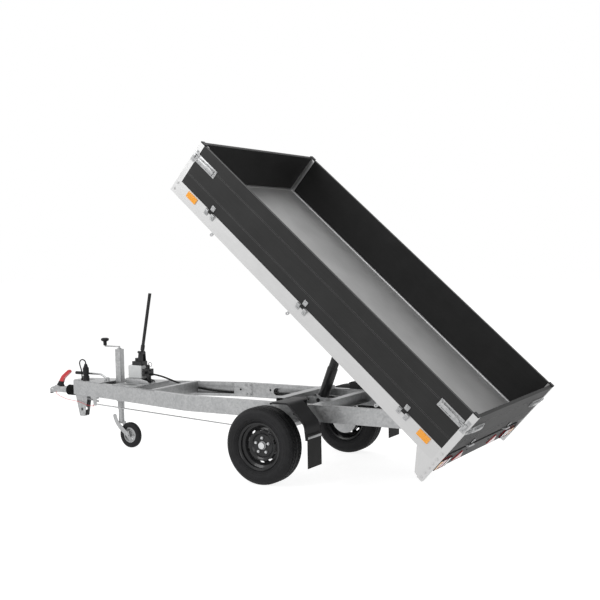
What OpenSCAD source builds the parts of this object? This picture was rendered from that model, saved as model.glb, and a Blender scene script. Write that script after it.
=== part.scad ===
// Single-axle dump trailer with a V drawbar, an overrun coupling and a bed that tips to the rear.
// Millimetres. Forward is -X, up is +Z, the ground is Z = 0 and the left side is -Y.

/* [Bed] */
// Angle of the bed above level as it stands
tip_angle = 41.5; // [5:0.5:41.5]
// Length of the bed over its corner posts
bed_l = 2822; // [2700:2:2900]
// Width of the bed over its corner posts
bed_w = 1592; // [1570:2:1640]
// Reach of the bed behind its hinge axis
bed_over = 377; // [340:1:420]
// Depth of the rail's lower edge under the hinge axis
bed_drop = 18; // [16:1:20]
// Height of the outer rail
rail_h = 109; // [105:1:120]
// Width of the outer rail
rail_w = 40; // [30:1:44]
// Wall of the outer rail
rail_t = 3; // [2:0.5:5]
// Height of the boards above the rail
board_h = 326; // [280:1:400]
// Thickness of the boards
board_t = 25; // [20:1:30]
// Wall of the hollow boards
board_wall = 2; // [1.5:0.5:4]
// Number of hollow chambers in a board's height
board_cells = 6; // [3:1:8]
// Length of a corner post along the bed
post_l = 46; // [40:1:60]
// Wall of a corner post
post_t = 3; // [2:0.5:5]
// Reach of the rear posts under the rail
post_drop = 162; // [100:1:180]
// Height of a post's cap
cap_h = 8; // [4:1:15]
// Height of the floor's underside above the rail's lower edge
floor_seat = 100; // [98:1:104]
// Thickness of the floor plate
floor_t = 3; // [2:0.5:5]
// Gap round a hinged board
board_gap = 2; // [1:0.5:3]

/* [Bed underframe] */
// Inner face of a longitudinal from the middle
long_y = 402; // [400:1:410]
// Width of a longitudinal
long_w = 34; // [30:1:34]
// Height of a longitudinal
long_h = 35; // [30:1:36]
// Height of a cross-member
cross_h = 30; // [25:1:32]
// Width of a cross-member
cross_w = 40; // [30:1:50]
// Wall of the underframe's channels
under_t = 3; // [2:0.5:5]

/* [Chassis] */
// Outer face of a chassis rail from the middle
ch_y = 441; // [430:1:460]
// Width of a chassis rail
ch_w = 45; // [40:1:50]
// Height of a chassis rail
ch_h = 123; // [100:1:130]
// Top of the chassis rails above the ground
ch_top = 571; // [560:1:575]
// Wall of a chassis rail
ch_t = 3; // [2:0.5:5]
// Where the rails bend towards the coupling
kink_x = -903; // [-1000:1:-800]
// Front end of the rails
ch_front = -2446; // [-2500:1:-2400]
// Rear end of the rails
ch_rear = 1085; // [1060:1:1095]
// Outer face of a rail at its front end from the middle
nose_y = 76; // [70:1:90]
// Height of the windows in a rail's inner wall
window_h = 62; // [40:1:80]

/* [Hinge] */
// Hinge axis behind the axle
hinge_x = 1129; // [1120:1:1140]
// Hinge axis above the ground
hinge_z = 564; // [560:1:568]
// Radius of the hinge pins
hinge_r = 12; // [8:1:14]
// Radial play of a running pin
pin_play = 0.08; // [0.05:0.01:0.1]

/* [Wheels] */
// Wheels' axis behind the zero of the lengths
wheel_x = -27; // [-40:1:0]
// Radius of a tyre
tyre_r = 287; // [280:1:300]
// Width of a tyre
tyre_w = 195; // [175:1:196]
// Middle of a tyre from the middle of the trailer
wheel_y = 652; // [645:1:655]
// Radius of the rim's bead seat
bead_r = 165; // [160:1:170]
// Number of wheel nuts
nut_n = 5; // [4:1:6]
// Radius of the wheel nuts' circle
nut_pcd_r = 56; // [50:1:60]
// Number of vent slots in a wheel disc
vent_n = 10; // [6:1:14]
// Radius of a brake drum
drum_r = 112; // [90:1:125]

/* [Ram] */
// Trunnion axis behind the axle
trun_x = 95; // [90:1:100]
// Trunnion axis above the ground
trun_z = 545; // [540:1:550]
// Outer radius of the barrel
barrel_r = 47.5; // [45:0.5:50]
// Outer radius of the first stage
stage1_r = 41; // [40:0.5:42]
// Outer radius of the second stage
stage2_r = 36; // [35:0.5:37]
// Outer radius of the third stage
stage3_r = 31; // [30:0.5:32]
// Length of each stage's tube
stage_l = 285; // [280:1:300]
// Eye's place on the bed ahead of the hinge axis
eye_u = 1030; // [1028:1:1032]
// Eye's place above the rail's lower edge
eye_w = 62; // [61:1:63]
// Outer radius of the eye
eye_r = 28; // [26:1:30]
// Radius of the eye's pin
eye_pin_r = 10; // [8:1:12]
// Radius of the eye's hole
eye_hole_r = 17.5; // [17:0.5:18.5]

/* [Jockey wheel] */
// Axis of the jockey tube
jock_x = -1941; // [-1950:1:-1935]
// Side offset of the jockey tube
jock_y = -20; // [-30:1:0]
// Side of the jockey tube's square
jock_s = 57; // [55:1:65]
// Radius of the jockey tyre
jock_r = 112; // [108:1:114]
// Width of the jockey tyre
jock_w = 44; // [36:1:46]
// Trail of the jockey wheel behind its tube
jock_trail = 101; // [98:1:105]

/* [Drawbar] */
// Height of the coupling shaft's axis
shaft_z = 468; // [464:1:474]
// Radius of the overrun tube
shaft_tube_r = 26; // [25:0.5:26]
// Radius of the ball socket
ball_r = 25.2; // [25:0.1:26]
// Middle of the ball socket
ball_x = -2765; // [-2770:1:-2760]

/* [Hidden] */
$fn = 48;

// Moves the axle's ground point so that the origin lies under the middle of the trailer
x_shift = 575;

galv = "Silver";
alu = "LightGray";
black = "DimGray";

bed_front = bed_over - bed_l;
bed_half = bed_w / 2;
board_z0 = rail_h + board_gap;
board_z1 = rail_h + board_h;
in_half = bed_half - rail_w;
floor_top = floor_seat + floor_t;
bend = atan((ch_y - nose_y) / (kink_x - ch_front));
ch_bot = ch_top - ch_h;
stage_gap = 0.5;

module place() {
    translate([x_shift, 0, 0]) children();
}

// Bed coordinates: X rearwards from the hinge axis, Z up from the rail's lower edge
module in_bed() {
    place() translate([hinge_x, 0, hinge_z]) rotate([0, tip_angle, 0])
        translate([0, 0, -bed_drop]) children();
}

// Both sides of the trailer
module both() {
    children();
    mirror([0, 1, 0]) children();
}

module side(s) {
    mirror([0, s > 0 ? 1 : 0, 0]) children();
}

// A slab with rounded vertical edges, lying on Z = 0
module slab(x, y, z, r) {
    linear_extrude(z) rounded(x, y, r);
}

module rounded(x, y, r) {
    translate([-x / 2 + r, -y / 2]) square([x - 2 * r, y]);
    translate([-x / 2, -y / 2 + r]) square([x, y - 2 * r]);
    for (i = [-1, 1], j = [-1, 1]) translate([i * (x / 2 - r), j * (y / 2 - r)]) circle(r);
}

// An oblong hole or bar profile, longer in X
module oblong(l, h) {
    square([l - h, h], center = true);
    for (i = [-1, 1]) translate([i * (l - h) / 2, 0]) circle(h / 2);
}

// A round bar from one point to another
module rod(a, b, r) {
    d = b - a;
    translate(a) rotate([0, acos(d[2] / norm(d)), atan2(d[1], d[0])])
        cylinder(h = norm(d), r = r);
}

// Chassis rails

// Distance from the middle of the rail's face that lies t inside its outer face
function rail_face(x, t) = x > kink_x + t * tan(bend / 2) ? ch_y - t
    : ch_y - (kink_x - x) * tan(bend) - t / cos(bend);
function rail_plan(x0, x1, t0, t1) = [
    [x1, -rail_face(x1, t0)], [kink_x + t0 * tan(bend / 2), -(ch_y - t0)],
    [x0, -rail_face(x0, t0)], [x0, -rail_face(x0, t1)],
    [kink_x + t1 * tan(bend / 2), -(ch_y - t1)], [x1, -rail_face(x1, t1)]];

// Plan of a strip of the rail that lies ahead of the kink
function slant_plan(x0, x1, t0, t1) = [[x1, -rail_face(x1, t0)], [x0, -rail_face(x0, t0)],
    [x0, -rail_face(x0, t1)], [x1, -rail_face(x1, t1)]];

// Windows in the inner wall: middle and length along the straight part
straight_windows = [[-461, 300], [560, 300], [890, 200]];
// Rear end of the open channel that runs to the front
channel_x = kink_x - 97;
lip = 25;

module rail() {
    difference() {
        translate([0, 0, ch_bot]) linear_extrude(ch_h)
            polygon(rail_plan(ch_front, ch_rear, 0, ch_w));
        translate([0, 0, ch_bot + ch_t]) linear_extrude(ch_h - 2 * ch_t)
            polygon(rail_plan(ch_front - 1, ch_rear + 1, ch_t, ch_w - ch_t));
        translate([0, 0, ch_bot + lip]) linear_extrude(ch_h - 2 * lip)
            polygon(slant_plan(ch_front - 1, channel_x, ch_w - ch_t - 1, ch_w + 1));
        for (w = straight_windows)
            translate([w[0], -(ch_y - ch_w - 1), (ch_top + ch_bot) / 2]) rotate([90, 0, 0])
                linear_extrude(ch_t + 3) oblong(w[1], window_h);
        translate([-643, -(ch_y - ch_w - 1), ch_top - 52]) rotate([90, 0, 0])
            cylinder(h = ch_t + 3, r = 9);
    }
}

module rail_left() {
    color(galv) place() rail();
}

module rail_right() {
    color(galv) place() mirror([0, 1, 0]) rail();
}

// Plan of a member that spans between the rails' inner faces
function span_plan(x0, x1) = [
    [x0, -rail_face(x0, ch_w)], [x1, -rail_face(x1, ch_w)],
    [x1, rail_face(x1, ch_w)], [x0, rail_face(x0, ch_w)]];

// A channel between the rails, open to the rear
module span_channel(x0, x1, z0, z1, t) {
    difference() {
        translate([0, 0, z0]) linear_extrude(z1 - z0) polygon(span_plan(x0, x1));
        translate([x0 + t, -ch_y, z0 + t]) cube([x1 - x0, 2 * ch_y, z1 - z0 - 2 * t]);
    }
}

bar_t = 4;
front_bar_x = -1380;
front_bar_w = 50;
front_bar_x1 = front_bar_x + front_bar_w;
front_bar_lap = 30;
pump_plate_x0 = -1880;
pump_plate_x1 = -1590;

// Front crossbar open to the front, the two plates that grip the jockey tube and the pump's plate
module crossbars() {
    color(galv) place() {
        difference() {
            translate([0, 0, ch_bot + 30]) linear_extrude(ch_h - 30)
                polygon(span_plan(front_bar_x, front_bar_x1));
            translate([front_bar_x - 1, -ch_y, ch_bot + 30 + bar_t])
                cube([front_bar_w - bar_t + 1, 2 * ch_y, ch_h]);
        }
        translate([0, 0, ch_top]) linear_extrude(bar_t) polygon([
            [front_bar_x, -rail_face(front_bar_x, ch_w - front_bar_lap)],
            [front_bar_x1, -rail_face(front_bar_x1, ch_w - front_bar_lap)],
            [front_bar_x1, rail_face(front_bar_x1, ch_w - front_bar_lap)],
            [front_bar_x, rail_face(front_bar_x, ch_w - front_bar_lap)]]);        for (i = [-1, 1]) {
            x0 = i > 0 ? jock_x + jock_s / 2 : jock_x - jock_s / 2 - 5;
            translate([0, 0, ch_bot + 30]) linear_extrude(80) polygon(span_plan(x0, x0 + 5));
        }
        difference() {
            translate([0, 0, ch_top]) linear_extrude(5) polygon([
                [pump_plate_x0, -rail_face(pump_plate_x0, 8)],
                [pump_plate_x1, -rail_face(pump_plate_x1, 8)],
                [pump_plate_x1, rail_face(pump_plate_x1, 8)],
                [pump_plate_x0, rail_face(pump_plate_x0, 8)]]);
            for (i = [-1, 1]) translate([-1735, i * 130, ch_top - 1]) linear_extrude(7)
                oblong(140, 50);
        }
    }
}

beam_a_x0 = -85;
beam_a_x1 = -10;
beam_b_x0 = 240;
beam_b_x1 = 300;
beam_rise = 29;
beam_t = 4;

// The two crossbeams that carry the ram, the front one with a raised seat for the bed
module crossbeams() {
    color(galv) place() {
        span_channel(beam_a_x0, beam_a_x1, ch_bot + 25, ch_top, beam_t);
        difference() {
            translate([beam_a_x0, -(ch_y - ch_w - 8), ch_top])
                cube([beam_a_x1 - beam_a_x0, 2 * (ch_y - ch_w - 8), beam_rise]);
            translate([beam_a_x0 + beam_t, -ch_y, ch_top - 1])
                cube([beam_a_x1 - beam_a_x0 - 2 * beam_t, 2 * ch_y, beam_rise - beam_t + 1]);
        }
        span_channel(beam_b_x0, beam_b_x1, ch_bot + 30, ch_top, beam_t);
        // fitting that takes the hose
        translate([hose_pts[len(hose_pts) - 1][0], 90, 527]) rotate([0, 90, 0])
            cylinder(h = beam_a_x0 - hose_pts[len(hose_pts) - 1][0], r = 12);
    }
}

lug_t = 8;
lug_in = 330;
knuckle_w = 28;
lug_gap = 1;
lug_r = 24;
hinge_beam_x0 = 1005;
hinge_beam_h = 76;

// One hinge lug plate in the XZ plane, its inner face at Y = 0
module hinge_lug() {
    rotate([90, 0, 0]) linear_extrude(lug_t) difference() {
        union() {
            translate([hinge_x, hinge_z]) circle(lug_r);
            polygon([[ch_rear - 4, ch_bot + 10], [hinge_x + 5, hinge_z - lug_r + 2],
                [hinge_x - 8, hinge_z + lug_r - 1], [ch_rear - 4, hinge_z]]);
        }
        translate([hinge_x, hinge_z]) circle(hinge_r);
    }
}

// Rear cross tube with the lugs and pins of the bed's hinge
module hinge_beam() {
    color(galv) place() {
        difference() {
            translate([hinge_beam_x0, -(ch_y - ch_w), ch_bot + 6])
                cube([ch_rear - hinge_beam_x0, 2 * (ch_y - ch_w), hinge_beam_h]);
            translate([hinge_beam_x0 + 4, -ch_y, ch_bot + 10])
                cube([ch_rear - hinge_beam_x0 - 8, 2 * ch_y, hinge_beam_h - 8]);
        }
        both() {
            for (y = [lug_in, lug_in + lug_t + knuckle_w + 2 * lug_gap])
                translate([0, y + lug_t, 0]) hinge_lug();
            translate([hinge_x, lug_in - 6, hinge_z]) rotate([-90, 0, 0])
                cylinder(h = knuckle_w + 2 * lug_t + 2 * lug_gap + 12, r = hinge_r);
        }
    }
}

// Drawbar

plate_t = 6;
tube_front = ch_front - 44;
house_rear = -2060;

// Overrun tube held between the rails by plates above and below them
module overrun_housing() {
    color(galv) place() {
        difference() {
            translate([tube_front, 0, shaft_z]) rotate([0, 90, 0])
                cylinder(h = house_rear - tube_front, r = shaft_tube_r);
            translate([tube_front - 1, 0, shaft_z]) rotate([0, 90, 0])
                cylinder(h = house_rear - tube_front + 2, r = shaft_tube_r - 5);
        }
        difference() {
            translate([0, 0, ch_top]) linear_extrude(plate_t) polygon([
                [ch_front + 6, -rail_face(ch_front + 6, 6)], [-2040, -rail_face(-2040, 6)],
                [-2040, rail_face(-2040, 6)], [ch_front + 6, rail_face(ch_front + 6, 6)]]);
            translate([-2320, 0, ch_top - 1]) linear_extrude(plate_t + 2) oblong(110, 34);
        }
        both() translate([0, 0, ch_bot - plate_t]) linear_extrude(plate_t) polygon([
            [ch_front + 6, -rail_face(ch_front + 6, 6)], [-2190, -rail_face(-2190, 6)],
            [-2190, -30], [ch_front + 6, -30]]);
        for (x = [-2420, -2250]) translate([x, -6, shaft_z + shaft_tube_r - 3])
            cube([12, 12, ch_top - shaft_z - shaft_tube_r + 3]);
        // bracket of the brake lever, its slanted face square to the lever's tube
        translate([0, lever_y + 12, 0]) rotate([90, 0, 0]) linear_extrude(24) difference() {
            polygon([[-2082.42, 591.86], [-2069.58, 612.14], [-2052, 610],
                [-2044, ch_top + plate_t], [-2098, ch_top + plate_t]]);
            translate([-2064, 590]) circle(5);
        }
    }
}

head_rear = tube_front - 86;
head_z = shaft_z - 30;
head_half = 26;

// Pressed coupling head with a blind ball socket that opens downwards
module coupling_head() {
    color(galv) place() difference() {
        union() {
            intersection() {
                translate([ball_x, 0, head_z]) cylinder(h = 60, r = ball_r + 9.8);
                translate([ball_x, 0, head_z + 10]) sphere(ball_r + 14.8);
            }
            rotate([90, 0, 0]) translate([0, 0, -head_half]) linear_extrude(2 * head_half)
                polygon([[ball_x, head_z], [ball_x - 6, head_z + 30], [ball_x + 6, head_z + 47],
                    [ball_x + 51, head_z + 68], [ball_x + 75, head_z + 68],
                    [ball_x + 97, head_z + 58], [head_rear, head_z + 58],
                    [head_rear, head_z + 5], [ball_x + 55, head_z + 5], [ball_x + 35, head_z]]);
        }
        translate([ball_x, 0, head_z - 1]) cylinder(h = 37, r = ball_r);
        translate([head_rear - 40, 0, shaft_z]) rotate([0, 90, 0])
            cylinder(h = 50, r = shaft_tube_r - 4);
    }
}

// Hand lever on the coupling: its foot on the head, its grip rising to the rear
module coupling_handle() {
    color("Crimson") place() translate([ball_x, 14, head_z]) rotate([90, 0, 0])
        linear_extrude(28) polygon([[52, 68.3], [75.1, 68.3], [97.1, 58.3], [124, 58.3],
            [112, 80], [137, 130], [209, 184], [217, 196], [211, 209], [196, 213], [116, 155],
            [77, 101], [62, 82]]);
}

bellow_x0 = head_rear;
bellow_x1 = tube_front - 0.3;
bellow_n = 7;

// Rubber bellows between the coupling head and the overrun tube
module bellows() {
    pitch = (bellow_x1 - bellow_x0) / bellow_n;
    color(black) place() translate([bellow_x0 + 0.3, 0, shaft_z]) rotate([0, 90, 0])
        rotate_extrude() polygon(concat(
            [[22.3, 0]],
            [for (i = [0:bellow_n - 1], k = [0, 1])
                [k == 0 ? 36 : 47, i * pitch + (k == 0 ? 0 : pitch / 2)]],
            [[36, bellow_n * pitch - 0.6], [22.3, bellow_n * pitch - 0.6]]));
    color(black) place() translate([head_rear - 38, 0, shaft_z]) rotate([0, 90, 0])
        cylinder(h = tube_front - head_rear + 138, r = shaft_tube_r - 5.3);
}

stand_y = 30;
stand_top_y = 52;
stand_x = ch_front - 24;
stand_l = 145;
stand_z = 242;

// Tapered folded prop under the drawbar's nose
module front_stand() {
    top = ch_bot - plate_t;
    color(galv) place() translate([stand_x, 0, 0]) {
        for (i = [0, 1]) mirror([0, i, 0]) translate([0, -stand_y + 4, 0]) rotate([90, 0, 0])
            linear_extrude(4) difference() {
                polygon([[0, top - 3], [stand_l, top - 3], [stand_l - 40, stand_z + 7],
                    [stand_l - 47, stand_z], [52, stand_z], [45, stand_z + 7]]);
                translate([74, stand_z + 62]) circle(14);
            }
        rotate([90, 0, 0]) translate([0, 0, -stand_y + 4]) linear_extrude(2 * stand_y - 8)
            polygon([[0, top - 3], [4, top - 3], [49, stand_z + 8], [54, stand_z + 4],
                [stand_l - 49, stand_z + 4], [stand_l - 44, stand_z + 8],
                [stand_l - 40, stand_z + 7], [stand_l - 47, stand_z], [52, stand_z],
                [45, stand_z + 7]]);
        translate([0, -stand_top_y, top - 4]) cube([stand_l, 2 * stand_top_y, 4]);
    }
}

lever_y = -50;
lever_r = 9;
// Route of the brake lever's tube, from its bracket to its grip
lever_pts = [[-2076, lever_y, 602], [-2106, lever_y, 621], [-2124, lever_y, 630],
    [-2140, lever_y, 635], [-2160, lever_y, 637], [-2190, lever_y, 637], [-2340, lever_y, 637]];

// Bent tube of the parking brake's lever
module handbrake() {
    color(galv) place() swept(lever_pts, lever_r, 16);
}

crank_z = 886;
knob_x = -2105;

// Black grip of the brake lever and the crank's knob
module hand_grips() {
    color(black) place() {
        difference() {
            translate([-2332, lever_y, 637]) rotate([0, -90, 0]) cylinder(h = 100, r = 14);
            translate([-2331, lever_y, 637]) rotate([0, -90, 0]) cylinder(h = 10, r = lever_r);
        }
        translate([knob_x, jock_y, crank_z + 6.3]) rotate_extrude() polygon([[0, 0], [15, 0],
            [16, 34], [30, 40], [36, 50], [34, 60], [22, 66], [0, 68]]);
    }
}

rod_y = -125;
rod_front_x = -2150;
rod_rear_x = -262;
rod_front_z = 380;
rod_rear_z = 282;

// Overrun lever under the drawbar, its linkage and the brake rod that runs back to the axle
module brake_rod() {
    color(galv) place() {
        rod([rod_front_x, rod_y, rod_front_z], [rod_rear_x, rod_y, rod_rear_z], 5);
        translate([rod_front_x, rod_y + 4, 0]) rotate([90, 0, 0]) linear_extrude(8) polygon([
            [-14, 366], [14, 366], [22, ch_bot], [-22, ch_bot]]);
        translate([rod_front_x - 35, rod_y - 14, 428]) cube([70, 28, ch_bot - 428]);
        translate([rod_rear_x + 20, rod_y + 4, 0]) rotate([90, 0, 0]) linear_extrude(8) polygon([
            [-34, 268], [0, 268], [82.6, 330], [67.5, 356], [60, 356], [-34, 298]]);
    }
}

// Jockey wheel

jock_top = 865;
jock_bot = 406;
bush_z = 338;
leg_r = 24;

// Square outer tube with its long foot bush and top plate
module jockey_tube() {
    color(galv) place() translate([jock_x, jock_y, 0]) difference() {
        union() {
            translate([0, 0, jock_bot]) slab(jock_s, jock_s, jock_top - jock_bot, 5);
            translate([0, 0, bush_z]) cylinder(h = jock_bot - bush_z + 1, r = leg_r + 5);
        }
        translate([0, 0, jock_bot + 22])
            slab(jock_s - 6, jock_s - 6, jock_top - jock_bot - 25, 2.5);
        translate([0, 0, bush_z - 1]) cylinder(h = 100, r = leg_r + pin_play);
    }
}

// Crank on the tube's top
module jockey_crank() {
    color(galv) place() translate([0, jock_y, 0]) {
        translate([jock_x, 0, jock_top]) cylinder(h = 8, r = 18);
        translate([jock_x, 0, jock_top + 8]) cylinder(h = crank_z - jock_top - 2, r = 8);
        translate([knob_x, 0, crank_z]) rotate([0, 90, 0]) cylinder(h = jock_x - knob_x, r = 6);
        translate([knob_x, 0, crank_z]) sphere(6);
        translate([knob_x, 0, crank_z]) cylinder(h = 6.3, r = 6);
    }
}

leg_bot = 222;
leg_top = 730;

// Inner leg that slides in the tube
module jockey_leg() {
    color(galv) place() translate([jock_x, jock_y, 0]) difference() {
        translate([0, 0, leg_bot]) cylinder(h = leg_top - leg_bot, r = leg_r);
        translate([0, 0, leg_bot + 34]) cylinder(h = leg_top - leg_bot, r = leg_r - 3.5);
        translate([0, 0, leg_bot - 1]) cylinder(h = 30, r = 12 + pin_play);
    }
}

fork_t = 4;
fork_half = leg_r + 11;

// Fork that swivels under the leg, its curved plates either side of the bush, with the wheel's axle
module jockey_fork() {
    hx = jock_trail;
    color(galv) place() translate([jock_x, jock_y, 0]) {
        for (i = [-1, 1]) translate([0, i * (fork_half + fork_t / 2) + fork_t / 2, 0])
            rotate([90, 0, 0]) linear_extrude(fork_t) union() {
                translate([-44, 274]) circle(19);
                polygon([[-62.6, 278], [-60, 262], [-46, 226], [-30, 200], [6, 161],
                    [hx - 13, jock_r - 14], [hx + 13, jock_r + 14], [36, 189], [4, 218],
                    [-12, 242], [-25.4, 270]]);
                translate([hx, jock_r]) circle(19);
            }
        translate([-40, -fork_half - 1, leg_bot - 10.2]) cube([58, 2 * fork_half + 2, 10]);
        translate([0, 0, leg_bot - 2]) cylinder(h = 28, r = 12);
        for (i = [-1, 1]) translate([hx, i * (fork_half + 23) / 2, jock_r])
            rotate([90, 0, 0]) cylinder(h = fork_half - 22, r = 13, center = true);
        translate([hx, -fork_half - fork_t - 8, jock_r]) rotate([-90, 0, 0])
            cylinder(h = 2 * fork_half + 2 * fork_t + 16, r = 8);
    }
}

jock_rim_r = 66;

module jockey_tyre() {
    color("Black") place() translate([jock_x + jock_trail, jock_y, jock_r]) rotate([90, 0, 0])
        rotate_extrude($fn = 96) polygon([
            [jock_rim_r + 0.3, -jock_w / 2 + 4], [jock_rim_r + 6, -jock_w / 2],
            [jock_r - 18, -jock_w / 2], [jock_r - 6, -jock_w / 2 + 5], [jock_r - 1, -jock_w / 4],
            [jock_r, -4], [jock_r, 4], [jock_r - 1, jock_w / 4], [jock_r - 6, jock_w / 2 - 5],
            [jock_r - 18, jock_w / 2], [jock_rim_r + 6, jock_w / 2],
            [jock_rim_r + 0.3, jock_w / 2 - 4]]);
}

module jockey_rim() {
    color(galv) place() translate([jock_x + jock_trail, jock_y, jock_r]) rotate([90, 0, 0])
        difference() {
            union() {
                rotate_extrude($fn = 96) polygon([
                    [8 + pin_play, -22], [18, -22], [20, -8], [52, -4], [58, -17],
                    [jock_rim_r, -17], [jock_rim_r, 17], [58, 17], [52, 4], [20, 8],
                    [18, 22], [8 + pin_play, 22]]);
            }
            for (i = [0:4]) rotate([0, 0, i * 72]) translate([37, 0, -20]) cylinder(h = 40, r = 8);
        }
}

// Pump

tank_x0 = -1866;
tank_x1 = -1679;
tank_half = 62;
tank_z0 = ch_top + 5;
tank_z1 = 733;

// Oil tank on its plate, a box with rounded upright edges
module pump_tank() {
    color("Gainsboro") place() {
        translate([(tank_x0 + tank_x1) / 2, 0, tank_z0]) difference() {
            slab(tank_x1 - tank_x0, 2 * tank_half, tank_z1 - tank_z0, 14);
            translate([0, 0, 4]) slab(tank_x1 - tank_x0 - 8, 2 * tank_half - 8,
                tank_z1 - tank_z0 - 8, 10);
        }
    }
}

pump_x = -1704;
pump_z = 836;
pump_pin_r = 8;
ear_t = 10;
lever_half = 14;

// Pump base, its lever's ears and the valve block behind the tank
module pump_body() {
    color(black) place() {
        translate([-1733, 0, tank_z1]) slab(108, 84, 33, 8);
        for (i = [-1, 1]) translate([pump_x, i * (lever_half + 1 + ear_t / 2) + ear_t / 2, 0])
            rotate([90, 0, 0]) linear_extrude(ear_t) difference() {
                union() {
                    translate([0, pump_z]) circle(20);
                    polygon([[-30, tank_z1 + 33], [24, tank_z1 + 33], [19, pump_z + 4],
                        [-19, pump_z + 4]]);
                }
                translate([0, pump_z]) circle(pump_pin_r);
            }
        translate([pump_x, -lever_half - ear_t - 5, pump_z]) rotate([-90, 0, 0])
            cylinder(h = 2 * (lever_half + ear_t + 5), r = pump_pin_r);
        translate([-1758, 0, tank_z1 + 33]) cylinder(h = 26, r = 20);
        translate([tank_x1, -34, 640]) cube([70, 68, 62]);
        translate([tank_x1 + 36, 0, 702]) cylinder(h = 34, r = 17);
        translate([tank_x1 + 36, -34, 672]) rotate([90, 0, 0]) cylinder(h = 26, r = 13);
        translate([tank_x1 + 44, 0, 576]) cylinder(h = 64, r = 20);
    }
}

lever_lean = 11.7;
pump_lever_l = 530;

// Lever with its socket, leaning to the rear
module pump_lever() {
    color(black) place() translate([pump_x, 0, pump_z]) rotate([0, lever_lean, 0]) {
        difference() {
            union() {
                rotate([90, 0, 0]) cylinder(h = 2 * lever_half, r = 20, center = true);
                translate([0, 0, 8]) cylinder(h = 30, r = 13);
                translate([0, 0, 27]) cylinder(h = 43, r = 18);
                translate([-44, -8, -9]) cube([44, 16, 18]);
            }
            rotate([90, 0, 0]) cylinder(h = 60, r = pump_pin_r + pin_play, center = true);
        }
        translate([0, 0, 70]) cylinder(h = pump_lever_l - 70, r = 14);
    }
}

// Points of the hydraulic hose, from the valve block, inside the right rail and out through its
// window to the fitting on the front crossbeam
hose_pts = [[-1608.8, 10, 655], [-1600, 10, 655], [-1585, 12, 653], [-1558, 23, 647],
    [-1532, 42, 637],
    [-1510, 66, 624], [-1480, 108, 600], [-1450, 160, 572], [-1420, 211, 547],
    [-1391, 262, 527], [-1367, 296, 517], [-1336, 318, 510], [-1250, 337, 497],
    [-1150, 361, 488], [-1010, 391, 480], [-903, 415, 480], [-750, 418, 482],
    [-640, 418, 486], [-520, 405, 495], [-400, 350, 505], [-280, 250, 515],
    [-180, 130, 524], [-148, 98, 527], [-112, 90, 527], [-97, 90, 527]];
hose_r = 8;
// Points of the plug's lead
lead_pts = [[-2275, -93, 728.2], [-2276, -93, 744], [-2290, -93, 758], [-2312, -93, 764],
    [-2334, -93, 756], [-2346, -93, 738], [-2346, -92, 716], [-2338, -92, 694],
    [-2332, -90, 670], [-2330, -88, 642], [-2330, -86, 615], [-2330, -86, 595]];
lead_r = 5.5;
// Points of the breakaway cable
cable_pts = [[-2708, -28.2, 447], [-2705, -33, 439], [-2690, -38, 427], [-2655, -42, 412],
    [-2600, -45, 397], [-2540, -45, 385], [-2475, -45, 379], [-2400, -45, 368],
    [-2320, -45, 348], [-2250, -50, 344], [-2210, -75, 350], [-2190, -108, 362],
    [-2180, -121, 369], [-2164.8, -125, 372]];
cable_r = 2;

function unit(v) = v / norm(v);
function heading(p, i) = unit(p[min(i + 1, len(p) - 1)] - p[max(i - 1, 0)]);
function ring_side(d) = unit(cross(d, abs(d[2]) > 0.9 ? [1, 0, 0] : [0, 0, 1]));
// Carries the ring's side direction along the route without twist
function carry(s, d) = unit(s - (s * d) * d);
function sides(p, i) = i == 0 ? ring_side(heading(p, 0)) : carry(sides(p, i - 1), heading(p, i));
function ring(p, i, r, n) = let (d = heading(p, i), s = sides(p, i), u = cross(d, s))
    [for (k = [0:n - 1]) p[i] + r * (cos(360 * k / n) * s + sin(360 * k / n) * u)];

module swept(p, r, n) {
    m = len(p);
    pts = [for (i = [0:m - 1]) each ring(p, i, r, n)];
    walls = [for (i = [0:m - 2], k = [0:n - 1])
        [i * n + k, i * n + (k + 1) % n, (i + 1) * n + (k + 1) % n, (i + 1) * n + k]];
    polyhedron(pts, concat(walls, [[for (k = [n - 1:-1:0]) k]],
        [[for (k = [0:n - 1]) (m - 1) * n + k]]), convexity = 6);
}

module hose() {
    color("Black") place() swept(hose_pts, hose_r, 8);
}

// Parking socket for the plug and the lead's grommet, on the left rail's top
module plug_holder() {
    color(black) place() {
        translate([-2275, -93, ch_top + plate_t]) difference() {
            cylinder(h = 42, r = 29);
            translate([0, 0, 8]) cylinder(h = 40, r = 24.3);
        }
        translate([-2330, -86, ch_top + plate_t]) cylinder(h = 18, r = 10);
    }
}

module plug() {
    color(black) place() translate([-2275, -93, ch_top + plate_t + 8.3]) {
        cylinder(h = 48, r = 24);
        translate([0, 0, 48]) cylinder(h = 60, r = 27);
        translate([0, 0, 108]) cylinder(h = 728 - ch_top - plate_t - 116.3, r1 = 22, r2 = 11);
    }
}

module plug_lead() {
    color("Black") place() swept(lead_pts, lead_r, 8);
}

module breakaway_cable() {
    color("Crimson") place() swept(cable_pts, cable_r, 8);
}

// Axle and wheels

tube_x = -136;
tube_z = 359;
tube_r = 40;
arm_y0 = 508;
arm_t = 34;
plate_y = 572;

module hexagon(r) {
    circle(r, $fn = 6);
}

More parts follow.
